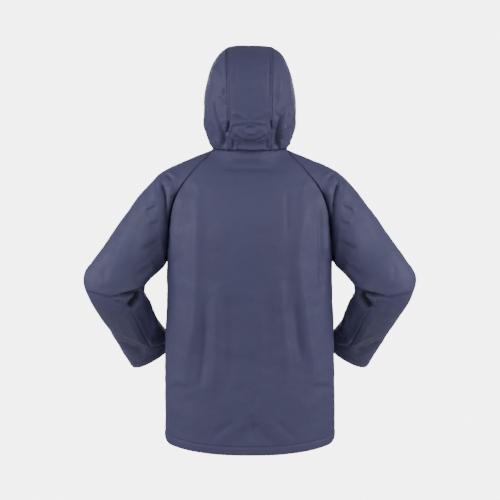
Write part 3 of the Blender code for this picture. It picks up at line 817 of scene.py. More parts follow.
# %% Folds of the sleeves, from behind
SLEEVE_FOLDS = (
    (5.5, -8.5, [-2, 4.8, 0.14, 0.3], (225, -78), (219, -98), (214, -119), (209, -140),
     (206, -160)),
    (9, -2.5, [0, 0, 0.25, 0.3], (224, -88), (219, -114), (213, -142), (208, -170), (207, -200)),
    (4, 2.4, [0, 0, 0.2, 0.4], (230, -63), (231, -82), (228, -106)),
    (10, 2.6, [0, 0, 0.25, 0.3], (244, -65), (243, -103), (238, -134)),
    (8, 3, [0, 0, 0.25, 0.3], (203, -83), (201, -101), (198, -119)),
    (4.5, -3.6, [0, 0, 0.25, 0.3], (214, -54), (207, -62), (195, -74)),
    (4, 2.2, (216, -47), (201, -55), (183, -68)),
    (9, 0.8, [-6.5, 0, 0.25, 0.35], (269, -153), (253, -144), (233, -136)),
    (9, 0, [-5, 0, 0.3, 0.4], (260, -187), (247, -182), (227, -174)),
    (11, -2.5, [-5.5, 0, 0.25, 0.4], (275, -248), (260, -241), (245, -232), (227, -222)),
    (14, -3, [0, 0, 0.35, 0.4], (258, -271), (243, -259), (225, -241)),
    (7, 2, (292, -307), (260, -286), (234, -266)),
    (9, -1.8, (357, -281), (364, -306), (361, -334)),
    (12, 2.2, (331, -200), (349, -241), (368, -281)),
    (10, -1.4, (301, -135), (313, -180), (326, -226)),
    (9, 1.6, (275, -95), (289, -136), (302, -180)),
    (8, 0, [-7, 3, 0.25, 0.1], (420, -353), (393, -358), (372, -363), (356, -366), (341, -368)),
    (7, 0, [-7, 3, 0.12, 0.05], (346, -369), (334, -365), (322, -360), (304, -356), (288, -351),
     (271, -340)),
    (11, -24, [0, 0, 0.12, 0.26], (275, -358), (278, -366), (290, -382), (309, -404)),
    (4.5, -12, [0, 0, 0.2, 0.4], (280, -357), (295, -361), (314, -366), (335, -372)),
    (13, 8, [0, 0, 0.25, 0.25], (237, -287), (257, -308), (274, -326), (288, -340)),
    (20, 4.5, (253, -170), (262, -211), (270, -251), (276, -286), (288, -319)),
    (10, 3, (247, -313), (260, -327), (271, -340), (268, -363)),
    (12, 3, (406, -283), (418, -307), (417, -337)),
    (3, 5, [0, 0, 0.2, 0.2], (317, -364), (315, -376), (315, -389)),
    (3.4, -5.5, [0, 0, 0.2, 0.2], (342, -371), (334, -366), (324, -364), (317, -365)),
    (3.4, 2.6, [0, 0, 0.25, 0.25], (343, -378), (331, -374), (321, -376)),
    (3.2, -2.4, (336, -385), (327, -382), (321, -385)),
    (3.6, -4, [0, 0, 0.3, 0.25], (320, -392), (314, -399), (307, -405)),
    (4.5, 2.2, (338, -392), (331, -405), (319, -416)),
    (3.2, -1.6, [4, 0, 0.06, 0.08], (311, -403), (304, -410), (294, -426), (283, -455),
     (271, -486), (262, -507)),
    (14, -4.5, [0, 0, 0.25, 0.2], (288, -393), (278, -420), (266, -453), (254, -484)),
    (8, 2.4, [0, 0, 0.12, 0.1], (321, -408), (313, -422), (303, -447), (289, -481), (277, -511)),
    (10, 5, [0, 0, 0.25, 0.3], (269, -364), (258, -396), (247, -429), (237, -461)),
    (11, -9, [0, 0, 0.3, 0.25], (345, -483), (328, -498), (305, -511), (270, -518)),
    (9, 0.6, [-4, 0, 0.3, 0.2], (354, -460), (330, -471), (302, -486), (269, -504)),
    (7, 0, [-5, 0, 0.3, 0.2], (266, -502), (246, -501), (213, -493)),
    (9, -4.5, (261, -492), (246, -484), (224, -476)),
    (6, 3.6, (255, -414), (251, -436), (244, -460)),
)
print("folds of a sleeve, from behind:", len(SLEEVE_FOLDS))

# %% Folds of the hood, from behind
HOOD_FOLDS = (
    (20, 7, [0, 0, 0.15, 0.15], (98, 15), (55, 4), (-1, 1), (-57, 4), (-98, 15)),
    (12, 3.6, (110, 49), (107, 33), (98, 15)),
    (12, 3.6, (-112, 50), (-107, 33), (-98, 15)),
    (9, 3.4, [0, 0, 0.25, 0.25], (50, 33), (-1, 30), (-51, 33)),
    (20, 4, (65, 50), (32, 46), (-1, 45), (-33, 46), (-66, 50)),
    (60, 2.2, (58, 257), (-1, 270), (-58, 257)),
    (5, -2.6, [0, 0, 0.2, 0.3], (-51, 238), (-50, 173), (-48, 118)),
    (14, 3.5, (83, 233), (92, 194), (93, 157)),
    (3.8, 3.4, [0, 0, 0.25, 0.3], (48, 92), (29, 88), (12, 79), (-2, 74)),
    (4.5, 2.61, [0, 0, 0.25, 0.3], (-54, 105), (-33, 87), (-14, 80), (1, 74)),
    (3.4, -3.19, [0, 0, 0.25, 0.25], (46, 58), (27, 59), (7, 62)),
    (3.4, -3.19, [0, 0, 0.25, 0.25], (-47, 59), (-28, 60), (-11, 63)),
    (3.6, 2.61, (44, 67), (22, 68), (-1, 70), (-23, 68), (-46, 67)),
    (3.4, -5, [0, 2, 0.3, 0.3], (15, 53), (-1, 56), (-17, 53)),
    (3.2, 3.19, (11, 47), (-1, 43), (-15, 47)),
    (3.4, 2.9, [0, 0, 0.25, 0.25], (43, 51), (27, 40), (12, 28)),
    (4, -4.06, [0, 0, 0.3, 0.25], (41, 37), (27, 32), (15, 25)),
    (3.4, 2.9, [0, 0, 0.25, 0.25], (-43, 51), (-30, 40), (-13, 29)),
    (4, -4.06, [0, 0, 0.3, 0.25], (-41, 37), (-27, 32), (-15, 26)),
    (2.6, 2.17, (46, 40), (47, 24), (45, 8)),
    (2.6, -2.32, (41, 30), (41, 19), (39, 5)),
    (2.6, 1.89, (34, 24), (33, 5)),
    (2.6, 2.17, (-46, 40), (-48, 24), (-46, 8)),
    (2.6, -2.32, (-41, 30), (-42, 5)),
    (2.6, 1.89, (-53, 36), (-55, 8)),
    (5, 3.48, (45, 11), (-1, 8), (-46, 11)),
    (4.5, -7.25, (53, 76), (54, 58), (57, 45), (59, 35)),
    (3.4, 3.19, (64, 64), (61, 53), (56, 44)),
    (3.4, 3.19, (45, 71), (48, 56), (55, 43)),
    (4, -6.09, (-52, 77), (-54, 60), (-57, 46)),
    (3.4, 3.19, (-64, 81), (-67, 68), (-62, 53)),
    (11, 0, [8, 0, 0.18, 0.14], (92, 137), (90, 111), (85, 89), (78, 64), (71, 40), (68, 11)),
    (4.5, -3.6, [0, 2, 0.3, 0.2], (77, 81), (69, 56), (65, 35), (65, 11)),
    (6, 3.77, [0, 0, 0.25, 0.3], (73, 81), (69, 61), (62, 42)),
    (8, 3.19, (104, 130), (102, 94), (93, 59)),
    (4.2, -3.48, [0, 0, 0.3, 0.25], (83, 136), (73, 121), (59, 103)),
    (5, 2.61, (77, 147), (67, 130), (58, 116)),
    (3.2, -3.77, (67, 152), (63, 146), (59, 140)),
    (3.4, 2.9, (85, 36), (78, 23), (73, 12)),
    (3.4, 2.32, (93, 41), (86, 26), (81, 15)),
    (11, 0, [-8, 0, 0.12, 0.12], (-94, 110), (-86, 87), (-78, 59), (-74, 35), (-73, 10)),
    (4.5, -6, [0, 2, 0.25, 0.12], (-85, 94), (-75, 69), (-70, 44), (-68, 11)),
    (6, 4.35, (-91, 70), (-84, 50), (-78, 29)),
    (8, 3.48, (-77, 196), (-76, 149), (-72, 110)),
    (7, 3.19, (-106, 120), (-101, 84), (-92, 54)),
    (4, -2.9, (-64, 95), (-72, 84), (-84, 82)),
    (3.4, 2.61, (-78, 33), (-75, 21), (-74, 10)),
    (6, 0, [5, 0, 0.15, 0.3], (60, 260), (59, 205), (58, 153)),
    (8, 3, (94, 219), (80, 191), (72, 159)),
    (7, -1.74, (32, 220), (36, 188), (33, 152)),
    (7, 1.74, (-3, 209), (-2, 172), (-3, 142)),
    (7, -1.45, (-31, 214), (-37, 178), (-39, 152)),
)
print("folds of the hood, from behind:", len(HOOD_FOLDS))

# %% Folds of the sides that face away
# They are of the same kinds as the folds behind
FRONT_FOLDS = (
    (18, 4.4, (112, -150), (122, -260), (128, -380), (134, -520), (146, -620)),
    (14, 3.4, (72, -330), (76, -430), (84, -540), (90, -640)),
    (12, -2.8, (100, -380), (108, -480), (112, -600)),
    (11, -2.4, (46, -360), (44, -470), (48, -600)),
    (12, 2, (36, -120), (40, -180), (46, -260)),
    (10, 2.2, (150, -190), (168, -230), (182, -290)),
    (9, -1.8, (140, -175), (158, -210), (172, -265)),
    (9, -1.6, (60, -690), (80, -655), (92, -610)),
    (9, -1.4, (150, -690), (138, -660), (134, -620)),
    (8, 1.6, (30, -96), (62, -100), (92, -112)),
    (18, 4, (-118, -160), (-126, -280), (-130, -400), (-142, -560)),
    (14, 3.6, (-66, -300), (-72, -420), (-80, -560), (-82, -650)),
    (12, -2.6, (-96, -350), (-104, -470), (-110, -590)),
    (11, -2.2, (-42, -400), (-44, -500), (-40, -620)),
    (10, 2, (-152, -195), (-170, -235), (-184, -300)),
    (9, -1.8, (-138, -178), (-158, -214), (-172, -268)),
    (9, -1.6, (-64, -700), (-84, -660), (-96, -606)),
    (8, 1.5, (-30, -98), (-60, -102), (-92, -116)),
)
ARM_FRONT_FOLDS = (
    (7, -6.5, [5, 7, 0.2, 0.2], (206, -120), (209, -150), (215, -185), (221, -215)),
    (8, 2.6, (222, -100), (226, -135), (226, -170)),
    (8, 2.8, [-2.8, 0, 0.3, 0.2], (286, -178), (262, -160), (234, -146)),
    (8, 2.6, [-3, 0, 0.3, 0.2], (290, -246), (262, -232), (232, -212)),
    (9, -3, [0, 0, 0.3, 0.2], (276, -280), (252, -262), (232, -240)),
    (8, -6, [-5, 7, 0.2, 0.15], (352, -352), (326, -350), (300, -348), (276, -342)),
    (8, 4, [0, 0, 0.3, 0.2], (358, -332), (330, -330), (300, -326), (274, -322)),
    (7, -3.6, [0, 0, 0.3, 0.2], (336, -312), (308, -310), (280, -304)),
    (7, 3.4, [0, 0, 0.3, 0.2], (350, -376), (322, -372), (296, -372), (268, -366)),
    (7, -3, [0, 0, 0.3, 0.25], (340, -400), (312, -392), (282, -384)),
    (8, 1.8, (330, -430), (310, -452), (286, -470)),
    (8, -1.6, (300, -420), (286, -446), (262, -462)),
    (10, 1.8, (330, -190), (352, -236), (372, -276)),
    (10, -1.6, (300, -190), (318, -230), (336, -268)),
)
HOOD_SIDE_FOLDS = (
    (12, -3, [0, 0, 0.3, 0.25], (30, 160), (-10, 120), (-50, 78), (-84, 40)),
    (10, 2.4, [0, 0, 0.3, 0.25], (60, 110), (20, 80), (-30, 48), (-70, 16)),
    (9, -2.2, [0, 0, 0.3, 0.2], (70, 70), (30, 48), (-20, 22), (-60, -6)),
    (12, 2, (-60, 200), (-80, 160), (-100, 110), (-108, 70)),
    (10, -1.8, (10, 230), (-20, 200), (-60, 170)),
    (8, 1.6, (84, 150), (60, 190), (20, 220)),
)
print("folds that face away:", len(FRONT_FOLDS) + len(ARM_FRONT_FOLDS) + len(HOOD_SIDE_FOLDS))

# %% Laying the folds
HOOD_SHEETS = ("hood_left", "hood_right", "hood_centre")
# view, folds, the sheets they lie on, and whether the other side has them too
FOLD_TABLES = (
    ("behind", BACK_FOLDS, ("back_panel",), False),
    ("front", FRONT_FOLDS, ("front_left", "front_right"), False),
    ("behind", SLEEVE_FOLDS, ("sleeve_left",), True),
    ("front", ARM_FRONT_FOLDS, ("sleeve_left",), True),
    ("behind", HOOD_FOLDS, HOOD_SHEETS, False),
    ("left", HOOD_SIDE_FOLDS, ("hood_left",), False),
    ("right", HOOD_SIDE_FOLDS, ("hood_right",), False),
)
all_folds = []
for view, rows, sheets, on_both_sides in FOLD_TABLES:
    for width, ridge, *spots in rows:
        step, slide, fade_in, fade_out = spots.pop(0) if isinstance(spots[0], list) else PLAIN
        line = fold_line(view, sheets, spots)
        sizes = (width * MM, ridge * MM, step * MM, slide * MM)
        all_folds.append((line, *sizes, fade_in, fade_out))
        if on_both_sides:
            # Turned end for end, so that its two sides keep their places
            all_folds.append(((line * [-1.0, 1.0, 1.0])[::-1], *sizes, fade_out, fade_in))
print("folds:", len(all_folds))

# %% [markdown]
# ## Sewn edges
# Close to a seam the cloth shows how it was made. Two edges roll in towards the thread, the
# layers beneath lift a soft lip beside it, and the thread draws the cloth into puckers. A
# turned hem is a little thicker than the cloth above, with a groove where it is stitched.
# Each of these is a height added along the normal, as a function of the distance to an edge.

# %% Relief: puckers and unevenness
RIPPLE_WAVES = (0.62, 0.88, 1.0, 1.7)


def ripple(along, wavelength, seed):
    """Puckers along a seam: a sum of sine waves of four lengths, with seeded phases."""
    phases = np.random.default_rng(seed).uniform(0, 2 * np.pi, len(RIPPLE_WAVES))
    waves = [np.sin(2 * np.pi * along / (wavelength * stretch) + phase)
             for stretch, phase in zip(RIPPLE_WAVES, phases)]
    return np.sum(waves, axis=0) / 2


CLOUD_WAVES, CLOUD_SPREAD = 14, (0.7, 1.7)


def cloudy(points, size, seed):
    """Soft unevenness: sine waves that cross the space in seeded directions."""
    draw = np.random.default_rng(seed)
    ways = unit(draw.normal(size=(CLOUD_WAVES, 3))) * 2 * np.pi
    ways = ways / (size * draw.uniform(*CLOUD_SPREAD, (CLOUD_WAVES, 1)))
    phase = draw.uniform(0, 2 * np.pi, CLOUD_WAVES)
    return np.sin(points @ ways.T + phase).sum(axis=-1) / np.sqrt(CLOUD_WAVES / 2)


print("puckers of a short seam:", np.round(ripple(np.arange(5) * 4 * MM, 15 * MM, 1), 2))

# %% Relief of the sewn seams
# kind: groove and its width, lip, its place, its width and its bell's power, pucker, its
# reach and its wavelength, all in millimetres but the power. The neck seam is shallow because
# the hood's weight pulls it flat. At the hood's ridge both allowances lie under the cloth and
# lift a wide, flat lip.
SEWN_SIZES = {
    "seam": (1.9, 1.7, 0.5, 4.6, 2.4, 2, 0.28, 10, 15),
    "neck": (0.9, 1.4, 0.0, 0.0, 1.0, 2, 0.40, 12, 11),
    "ridge": (0.8, 0.8, 1.2, 0.0, 5.4, 4, 0.28, 10, 13),
}
PUCKER_START = 3 * MM


def sewn_relief(kind, distance, along, seed):
    """A roll into the seam, a lip beside it, and puckers that fade away from it."""
    groove, groove_width, lip, place, lip_width, power, pucker, reach, wavelength = (
        SEWN_SIZES[kind])
    puckers = ripple(along, wavelength * MM, seed) * smooth(distance / PUCKER_START)
    return MM * (lip * bell(distance - place * MM, lip_width * MM, power)
                 - groove * bell(distance, groove_width * MM)
                 + pucker * puckers * bell(distance, reach * MM))


print("seam groove:", round(float(sewn_relief("seam", 0.0, 0.0, 1)) / MM, 2), "mm")

# %% Relief of the hems and laps
HEM_GROOVE, HEM_GROOVE_WIDTH = 0.9 * MM, 1.5 * MM
HEM_FULL, HEM_FULL_FROM, HEM_FULL_TO = 0.7 * MM, 6 * MM, 5 * MM
ROPING, ROPING_WAVE, ROPING_SLANT = 0.28 * MM, 16 * MM, 0.9
ROPING_PLACE, ROPING_REACH = 0.6 * HEM, 0.8 * HEM


def hem_relief(distance, along, seed):
    """A turned hem: a stitched groove a hem's width up, the fold's fullness and its roping."""
    groove = HEM_GROOVE * bell(distance - HEM, HEM_GROOVE_WIDTH)
    full = HEM_FULL * smooth(distance / HEM_FULL_FROM) * smooth((HEM - distance) / HEM_FULL_TO)
    roping = ROPING * ripple(along + ROPING_SLANT * distance, ROPING_WAVE, seed)
    return full - groove + roping * bell(distance - ROPING_PLACE, ROPING_REACH)


LAP_STITCH = 6 * MM
LAP_GROOVE, LAP_GROOVE_WIDTH = 0.6 * MM, 1.2 * MM
LAP_PUCKER, LAP_WAVE, LAP_REACH = 0.12 * MM, 20 * MM, 12 * MM


def lap_relief(distance, along, seed):
    """The front's edge: turned under, with a stitched groove a few millimetres in."""
    return (LAP_PUCKER * ripple(along, LAP_WAVE, seed) * bell(distance, LAP_REACH)
            - LAP_GROOVE * bell(distance - LAP_STITCH, LAP_GROOVE_WIDTH))


def relief(kind, distance, along, seed):
    """The height that an edge adds, by what is sewn there."""
    if kind in SEWN:
        return sewn_relief(kind, distance, along, seed)
    return (hem_relief if kind == "hem" else lap_relief)(distance, along, seed)


print("hem's groove:", round(float(relief("hem", HEM, 0.0, 1)) / MM, 2), "mm")

# %% [markdown]
# ## Fullness
# A worn coat is rounder than its pattern: beside the armholes the back's cloth bulges past
# its side seams, and lower down it squares the body's corners. Air or a simulation would
# blow it out everywhere, so a few smooth ramps over the level and the seam's distance do it.

# %% Fullness beside the side seams
FULL_EDGE = 6 * MM
FULL_SPREAD = 48 * MM
# Beside the armhole and below it: how far the cloth stands back and aside
BACK_BESIDE, BACK_BELOW = 15 * MM, 8 * MM
ASIDE_BESIDE, ASIDE_BELOW = 1.0 * MM, 3.5 * MM
FRONT_SHARE = 0.4
ASIDE_PLACE, ASIDE_WIDTH = 42 * MM, 30 * MM
HEM_DROP, HEM_CORNER, CORNER_WIDTH = 2.4 * MM, 12.5 * MM, 9 * MM
# Levels: where each part begins, and over how much it grows or fades
BESIDE_FROM, BESIDE_TO = (0.165, 0.06), (0.37, 0.12)
BELOW_FROM, CORNER_FROM, DROP_FROM = (0.42, 0.20), (0.68, 0.08), (0.60, 0.16)


def side_fullness(name):
    """The body's cloth bulges over its side seams, most beside the armhole.

    It moves straight back, and less far forward, by a height that grows from the seam over a
    few millimetres and dies away over some centimetres, and to the side by a bell a little
    further in, which squares the body's corner. The hem hangs a little lower, but where the
    body is widest it is drawn up, which rounds its corners.
    """
    base, kinds = SHEETS[name]
    sides = [side for side in ("left", "right") if kinds.get(side) == "seam"]
    if not sides:
        return 0.0
    level, edge = levels[:, None], edges_of(base)

    def after(start, fade):
        return smooth((level - start) / fade)

    beside = after(*BESIDE_FROM) * (1 - after(*BESIDE_TO))
    below = after(*BELOW_FROM)
    away = np.min([edge[side] for side in sides], axis=0)
    from_seam = smooth(away / FULL_EDGE)
    back = (BACK_BESIDE * beside + BACK_BELOW * below) * from_seam
    back = back * bell(np.maximum(away - FULL_EDGE, 0), FULL_SPREAD)
    back = np.where(base[..., 1] > 0, back, FRONT_SHARE * back)
    aside = (ASIDE_BESIDE * beside + ASIDE_BELOW * below) * from_seam
    aside = aside * bell(away - ASIDE_PLACE, ASIDE_WIDTH)
    half = np.abs(base[..., 0])
    within = np.max(half, axis=1, keepdims=True) - half
    up = HEM_CORNER * bell(within, CORNER_WIDTH) * after(*CORNER_FROM)
    up = up - HEM_DROP * after(*DROP_FROM)
    return np.stack([np.sign(base[..., 0]) * aside, np.sign(base[..., 1]) * back, up], axis=-1)


fullest = np.linalg.norm(side_fullness("back_panel"), axis=2).max() / MM
print("the back stands out by up to", round(float(fullest), 1), "mm")

# %% The sheets, dressed
# height, size and seed of the soft unevenness
UNEVEN = ((0.5 * MM, 75 * MM, 3), (0.2 * MM, 26 * MM, 4))
sunk = {}


def dressed(name, seed):
    """The sheet with all folds that reach it, its unevenness and the relief of its edges.

    It also notes in `sunk` how far the folds have sunk each point into the cloth.
    """
    base, kinds = SHEETS[name]
    out, edge = outward[name], edges_of(base)
    folded = sum(fold_shift(base, out, *fold) for fold in all_folds)
    sunk[name] = -np.sum(folded * out, axis=2)
    moved = base + folded + side_fullness(name)
    height = sum(high * cloudy(base, size, draw) for high, size, draw in UNEVEN)
    for number, (side, kind) in enumerate(kinds.items()):
        along = edge["top"] if side in ("left", "right") else edge["left"]
        height = height + relief(kind, edge[side], along, seed + number)
    way = normals_of(moved, is_tube(name))
    near = sum(bell(edge[side], AGREE) for side, kind in kinds.items() if kind in SEWN)
    near = np.clip(near, 0, 1)[..., None]
    return moved + unit(way * (1 - near) + out * near) * height[..., None]


shaped = {name: dressed(name, 10 * number) for number, name in enumerate(SHEETS)}
for name, points in shaped.items():
    deepest = np.linalg.norm(points - SHEETS[name][0], axis=2).max() / MM
    print(name, "deepest fold moves the cloth", round(float(deepest), 1), "mm")

# %% [markdown]
# ## Painted shade
# In a seam or a deep crease two layers of cloth touch, and hardly any light comes out. The
# sheet's rows are too coarse to close such a gap, so each point keeps a value of painted
# shade, which the cloth's material mixes into its colour.

# %% Painted shade in the seams and creases
# kind: painted shade, and its width
SHADES = {"seam": (0.42, 1.3 * MM), "neck": (0.36, 1.3 * MM), "ridge": (0.14, 1.3 * MM),
          "hem": (0.18, 1.5 * MM), "lap": (0.18, 1.5 * MM)}
SHADE_PLACE = {"hem": HEM, "lap": LAP_STITCH}
CREASE_FROM, CREASE_TO = 9 * MM, 14 * MM


def shade_of(name):
    """Painted shade of each point: 1 deep in a crease, and less in a seam or a stitched groove.

    A crease counts where folds have sunk the cloth by more than CREASE_FROM, because its two
    walls then meet and keep the light out.
    """
    base, kinds = SHEETS[name]
    edge = edges_of(base)
    shade = smooth((sunk[name] - CREASE_FROM) / (CREASE_TO - CREASE_FROM))
    for side, kind in kinds.items():
        dark, width = SHADES[kind]
        shade = np.maximum(shade, dark * bell(edge[side] - SHADE_PLACE.get(kind, 0.0), width))
    return shade


for name in SHEETS:
    print(name, "in a crease:", int((shade_of(name) > 0.5).sum()), "points")

# %% [markdown]
# ## Turned edges
# Raw cloth frays, so every free edge is turned under. Seen from below or from the side, a
# hem is a round roll and a second layer inside. The same grid goes on: a half circle of
# rows round the edge, then rows back up beneath the ones already there. A thickness alone
# would leave a sharp, thin rim, which is how a cut sheet of paper looks.

# %% Turning an edge under
ROLL_STEPS = 7
LAP_ROLL = 1.0 * MM
LAP_TURN = 9 * MM
HEM_ROLL = 1.5 * MM
CUFF_ROLL = 1.2 * MM


def turned_under(points, out, shade, radius, depth):
    """The sheet with its last row turned under by a depth, and its normals and shade alike.

    With a from 0 to pi, a roll's row is the edge, minus the radius times out, plus the
    radius times (out cos a + down sin a). The rows after it lie two radii inside.
    """
    down = unit(points[-1] - points[-3])
    down = unit(down - out[-1] * np.sum(down * out[-1], axis=-1, keepdims=True))
    angle = np.linspace(0, np.pi, ROLL_STEPS)[1:, None, None]
    roll = points[-1] + radius * (out[-1] * (np.cos(angle) - 1) + down * np.sin(angle))
    far = running(points[::-1], 0).mean(axis=1)
    back = len(points) - 1 - np.arange(1, np.searchsorted(far, depth) + 1, 2)
    inside = points[back] - 2 * radius * out[back]
    rows = [np.concatenate([points, roll, inside])]
    for extra in (out, shade):
        edge = np.repeat(extra[-1:], ROLL_STEPS - 1, axis=0)
        rows.append(np.concatenate([extra, edge, extra[back]]))
    return rows


print("a hem's roll is", round(2 * HEM_ROLL / MM, 1), "mm thick")

# %% Seam allowances, and all edges of a sheet
ALLOWANCE = (0.9 * MM, 2.5 * MM, 5.0 * MM, 9.0 * MM)
ASIDE = 0.35 * MM


def with_allowance(points, out, shade):
    """The sheet with its last row's seam allowance, which hangs inside, beside the seam."""
    back = unit(points[-3] - points[-1])
    depth = np.array(ALLOWANCE)[:, None, None]
    rows = points[-1] - out[-1] * depth + back * ASIDE
    return [np.concatenate([points, rows]), *(
        np.concatenate([extra, np.repeat(extra[-1:], len(rows), axis=0)])
        for extra in (out, shade))]


def turned_to(side, grids):
    """The grids turned so that one side is their last row."""
    if side in ("left", "right"):
        grids = [np.swapaxes(grid, 0, 1) for grid in grids]
    return [grid[::-1] for grid in grids] if side in ("left", "top") else list(grids)


def turned_back(side, grids):
    """What turned_to did to the grids, undone."""
    if side in ("left", "top"):
        grids = [grid[::-1] for grid in grids]
    return [np.swapaxes(grid, 0, 1) if side in ("left", "right") else grid for grid in grids]


def with_edges(name):
    """A shaped sheet with its seam allowances and its turned edges, and its shade."""
    _, kinds = SHEETS[name]
    grids = [shaped[name], outward[name], shade_of(name)]
    for side in ("left", "right", "top", "bottom"):
        kind = kinds.get(side)
        if kind is None:
            continue
        grids = turned_to(side, grids)
        if kind in SEWN:
            grids = with_allowance(*grids)
        elif kind == "lap":
            grids = turned_under(*grids, LAP_ROLL, LAP_TURN)
        else:
            grids = turned_under(*grids, CUFF_ROLL if is_tube(name) else HEM_ROLL, HEM)
        grids = turned_back(side, grids)
    return grids[0], grids[2]


turned = {name: with_edges(name) for name in SHEETS}
print("rows of the back with its hem:", turned["back_panel"][0].shape[0])

# %% [markdown]
# ## Cloth from a grid
# Each grid becomes a mesh: one face between every four neighbours. The running lengths
# across and down give every point its place on the flat cut piece, which is what UVs are
# for: a weave that follows them turns with the cloth. Solidify then gives the coated fabric
# its thickness and its greyer reverse side.

# %% From grid to mesh
CLOTH = 0.8 * MM


def corners_of(grid):
    """The grid's values at the four corners of each face, in order round it."""
    return [grid[:-1, :-1], grid[:-1, 1:], grid[1:, 1:], grid[1:, :-1]]


def smooth_mesh(name, points, faces):
    """A smooth mesh of four-sided faces from arrays of points and of point numbers."""
    mesh = bpy.data.meshes.new(name)
    mesh.from_pydata(points.reshape(-1, 3).tolist(), [], faces.reshape(-1, 4).tolist())
    mesh.shade_smooth()
    return mesh


def grid_mesh(name, points, tube=False):
    """A mesh of four-sided faces, closed round a tube by going back to its first column."""
    kept = points[:, :-1] if tube else points
    index = np.arange(kept.shape[0] * kept.shape[1]).reshape(kept.shape[:2])
    if tube:
        index = np.concatenate([index, index[:, :1]], axis=1)
    return smooth_mesh(name, kept, np.stack(corners_of(index), axis=-1))


def flat_pattern(mesh, points):
    """The cut piece's own coordinates as UVs: metres across from its middle, metres down."""
    wide, down = running(points, 1), running(points, 0)
    flat = np.stack([wide - wide[:, -1:] / 2, -down], axis=-1)
    layer = mesh.uv_layers.new(name="flat_pattern")
    layer.data.foreach_set("uv", np.stack(corners_of(flat), axis=2).ravel())


def placed(name, mesh, *materials):
    """A finished object at the origin, untransformed, with its materials."""
    piece = bpy.data.objects.new(name, mesh)
    bpy.context.scene.collection.objects.link(piece)
    for material in materials:
        mesh.materials.append(material)
    return piece


def cloth(name, points, shade, tube):
    """One cut piece of cloth with its flat pattern, its painted shade and its thickness."""
    mesh = grid_mesh(name, points, tube)
    flat_pattern(mesh, points)
    # Painted shade of the seams, grooves and creases, which darkens the cloth's colour
    dark = mesh.attributes.new("painted_shade", "FLOAT", "POINT")
    dark.data.foreach_set("value", (shade[:, :-1] if tube else shade).ravel())
    piece = placed(name, mesh, coated_cloth, reverse_cloth)
    wall = piece.modifiers.new("Thickness", "SOLIDIFY")
    wall.thickness = CLOTH
    wall.offset = -1.0
    wall.material_offset = 1
    return piece


print("cloth is", round(CLOTH / MM, 1), "mm thick")

# %% [markdown]
# ## The finish of the cloth
# A coated raincoat cloth is matte, with a soft wide sheen where it turns to the light. It
# has three sizes of detail. Fine threads give a weave, the coating lies on them as a pebbled
# grain, and handling leaves shallow crumples of a few millimetres. The node trees build them
# from noise and waves, so nothing depends on an image.

# %% Helpers: colours and node trees
def linear(red, green, blue):
    """A colour on screen, from 0 to 255, as the linear values that a shader uses."""
    screen = np.array([red, green, blue]) / 255
    return (*np.where(screen > 0.04045, ((screen + 0.055) / 1.055) ** 2.4, screen / 12.92), 1.0)


def plug(links, socket, value):
    """Link a socket to another node's output, or give it a plain value."""
    if isinstance(value, bpy.types.NodeSocket):
        links.new(value, socket)
    else:
        socket.default_value = value


class Tree:
    """A material with a few short calls for adding nodes and links."""

    def __init__(self, name):
        self.material = bpy.data.materials.new(name)
        self.material.use_nodes = True
        self.nodes, self.links = self.material.node_tree.nodes, self.material.node_tree.links
        self.shader = self.nodes["Principled BSDF"]
        self.where = self.add("ShaderNodeTexCoord").outputs["Object"]

    def add(self, kind, settings=(), **inputs):
        node = self.nodes.new(kind)
        for key, value in dict(settings).items():
            setattr(node, key, value)
        for key, value in inputs.items():
            plug(self.links, node.inputs[key.replace("_", " ")], value)
        return node

    def noise(self, scale, detail=2.0, roughness=0.5):
        return self.add("ShaderNodeTexNoise", Vector=self.where, Scale=scale, Detail=detail,
                        Roughness=roughness).outputs["Fac"]

    def between(self, factor, low, high):
        """A factor from 0 to 1 stretched over low to high."""
        return self.add("ShaderNodeMapRange", Value=factor, To_Min=low, To_Max=high).outputs[0]

    def tinted(self, factor, first, second):
        """The first colour, mixed with the second by a factor."""
        node = self.add("ShaderNodeMix", {"data_type": "RGBA"})
        for socket, value in ((0, factor), (6, first), (7, second)):
            plug(self.links, node.inputs[socket], value)
        return node.outputs[2]

    def bump(self, height, distance, strength=1.0, normal=None):
        under = {} if normal is None else {"Normal": normal}
        return self.add("ShaderNodeBump", Height=height, Distance=distance, Strength=strength,
                        **under).outputs["Normal"]

    def to_shader(self, **inputs):
        for key, value in inputs.items():
            plug(self.links, self.shader.inputs[key.replace("_", " ")], value)


print("mid grey, linear:", np.round(linear(128, 128, 128)[:3], 3))

# %% The finish of the cloth and its reverse
# Share of the darker tone that is left where the painted shade is full
PAINTED_SHADE_TONE = 0.25
SPECK_MOST = 0.22
ROUGHNESS_SPREAD = 0.06


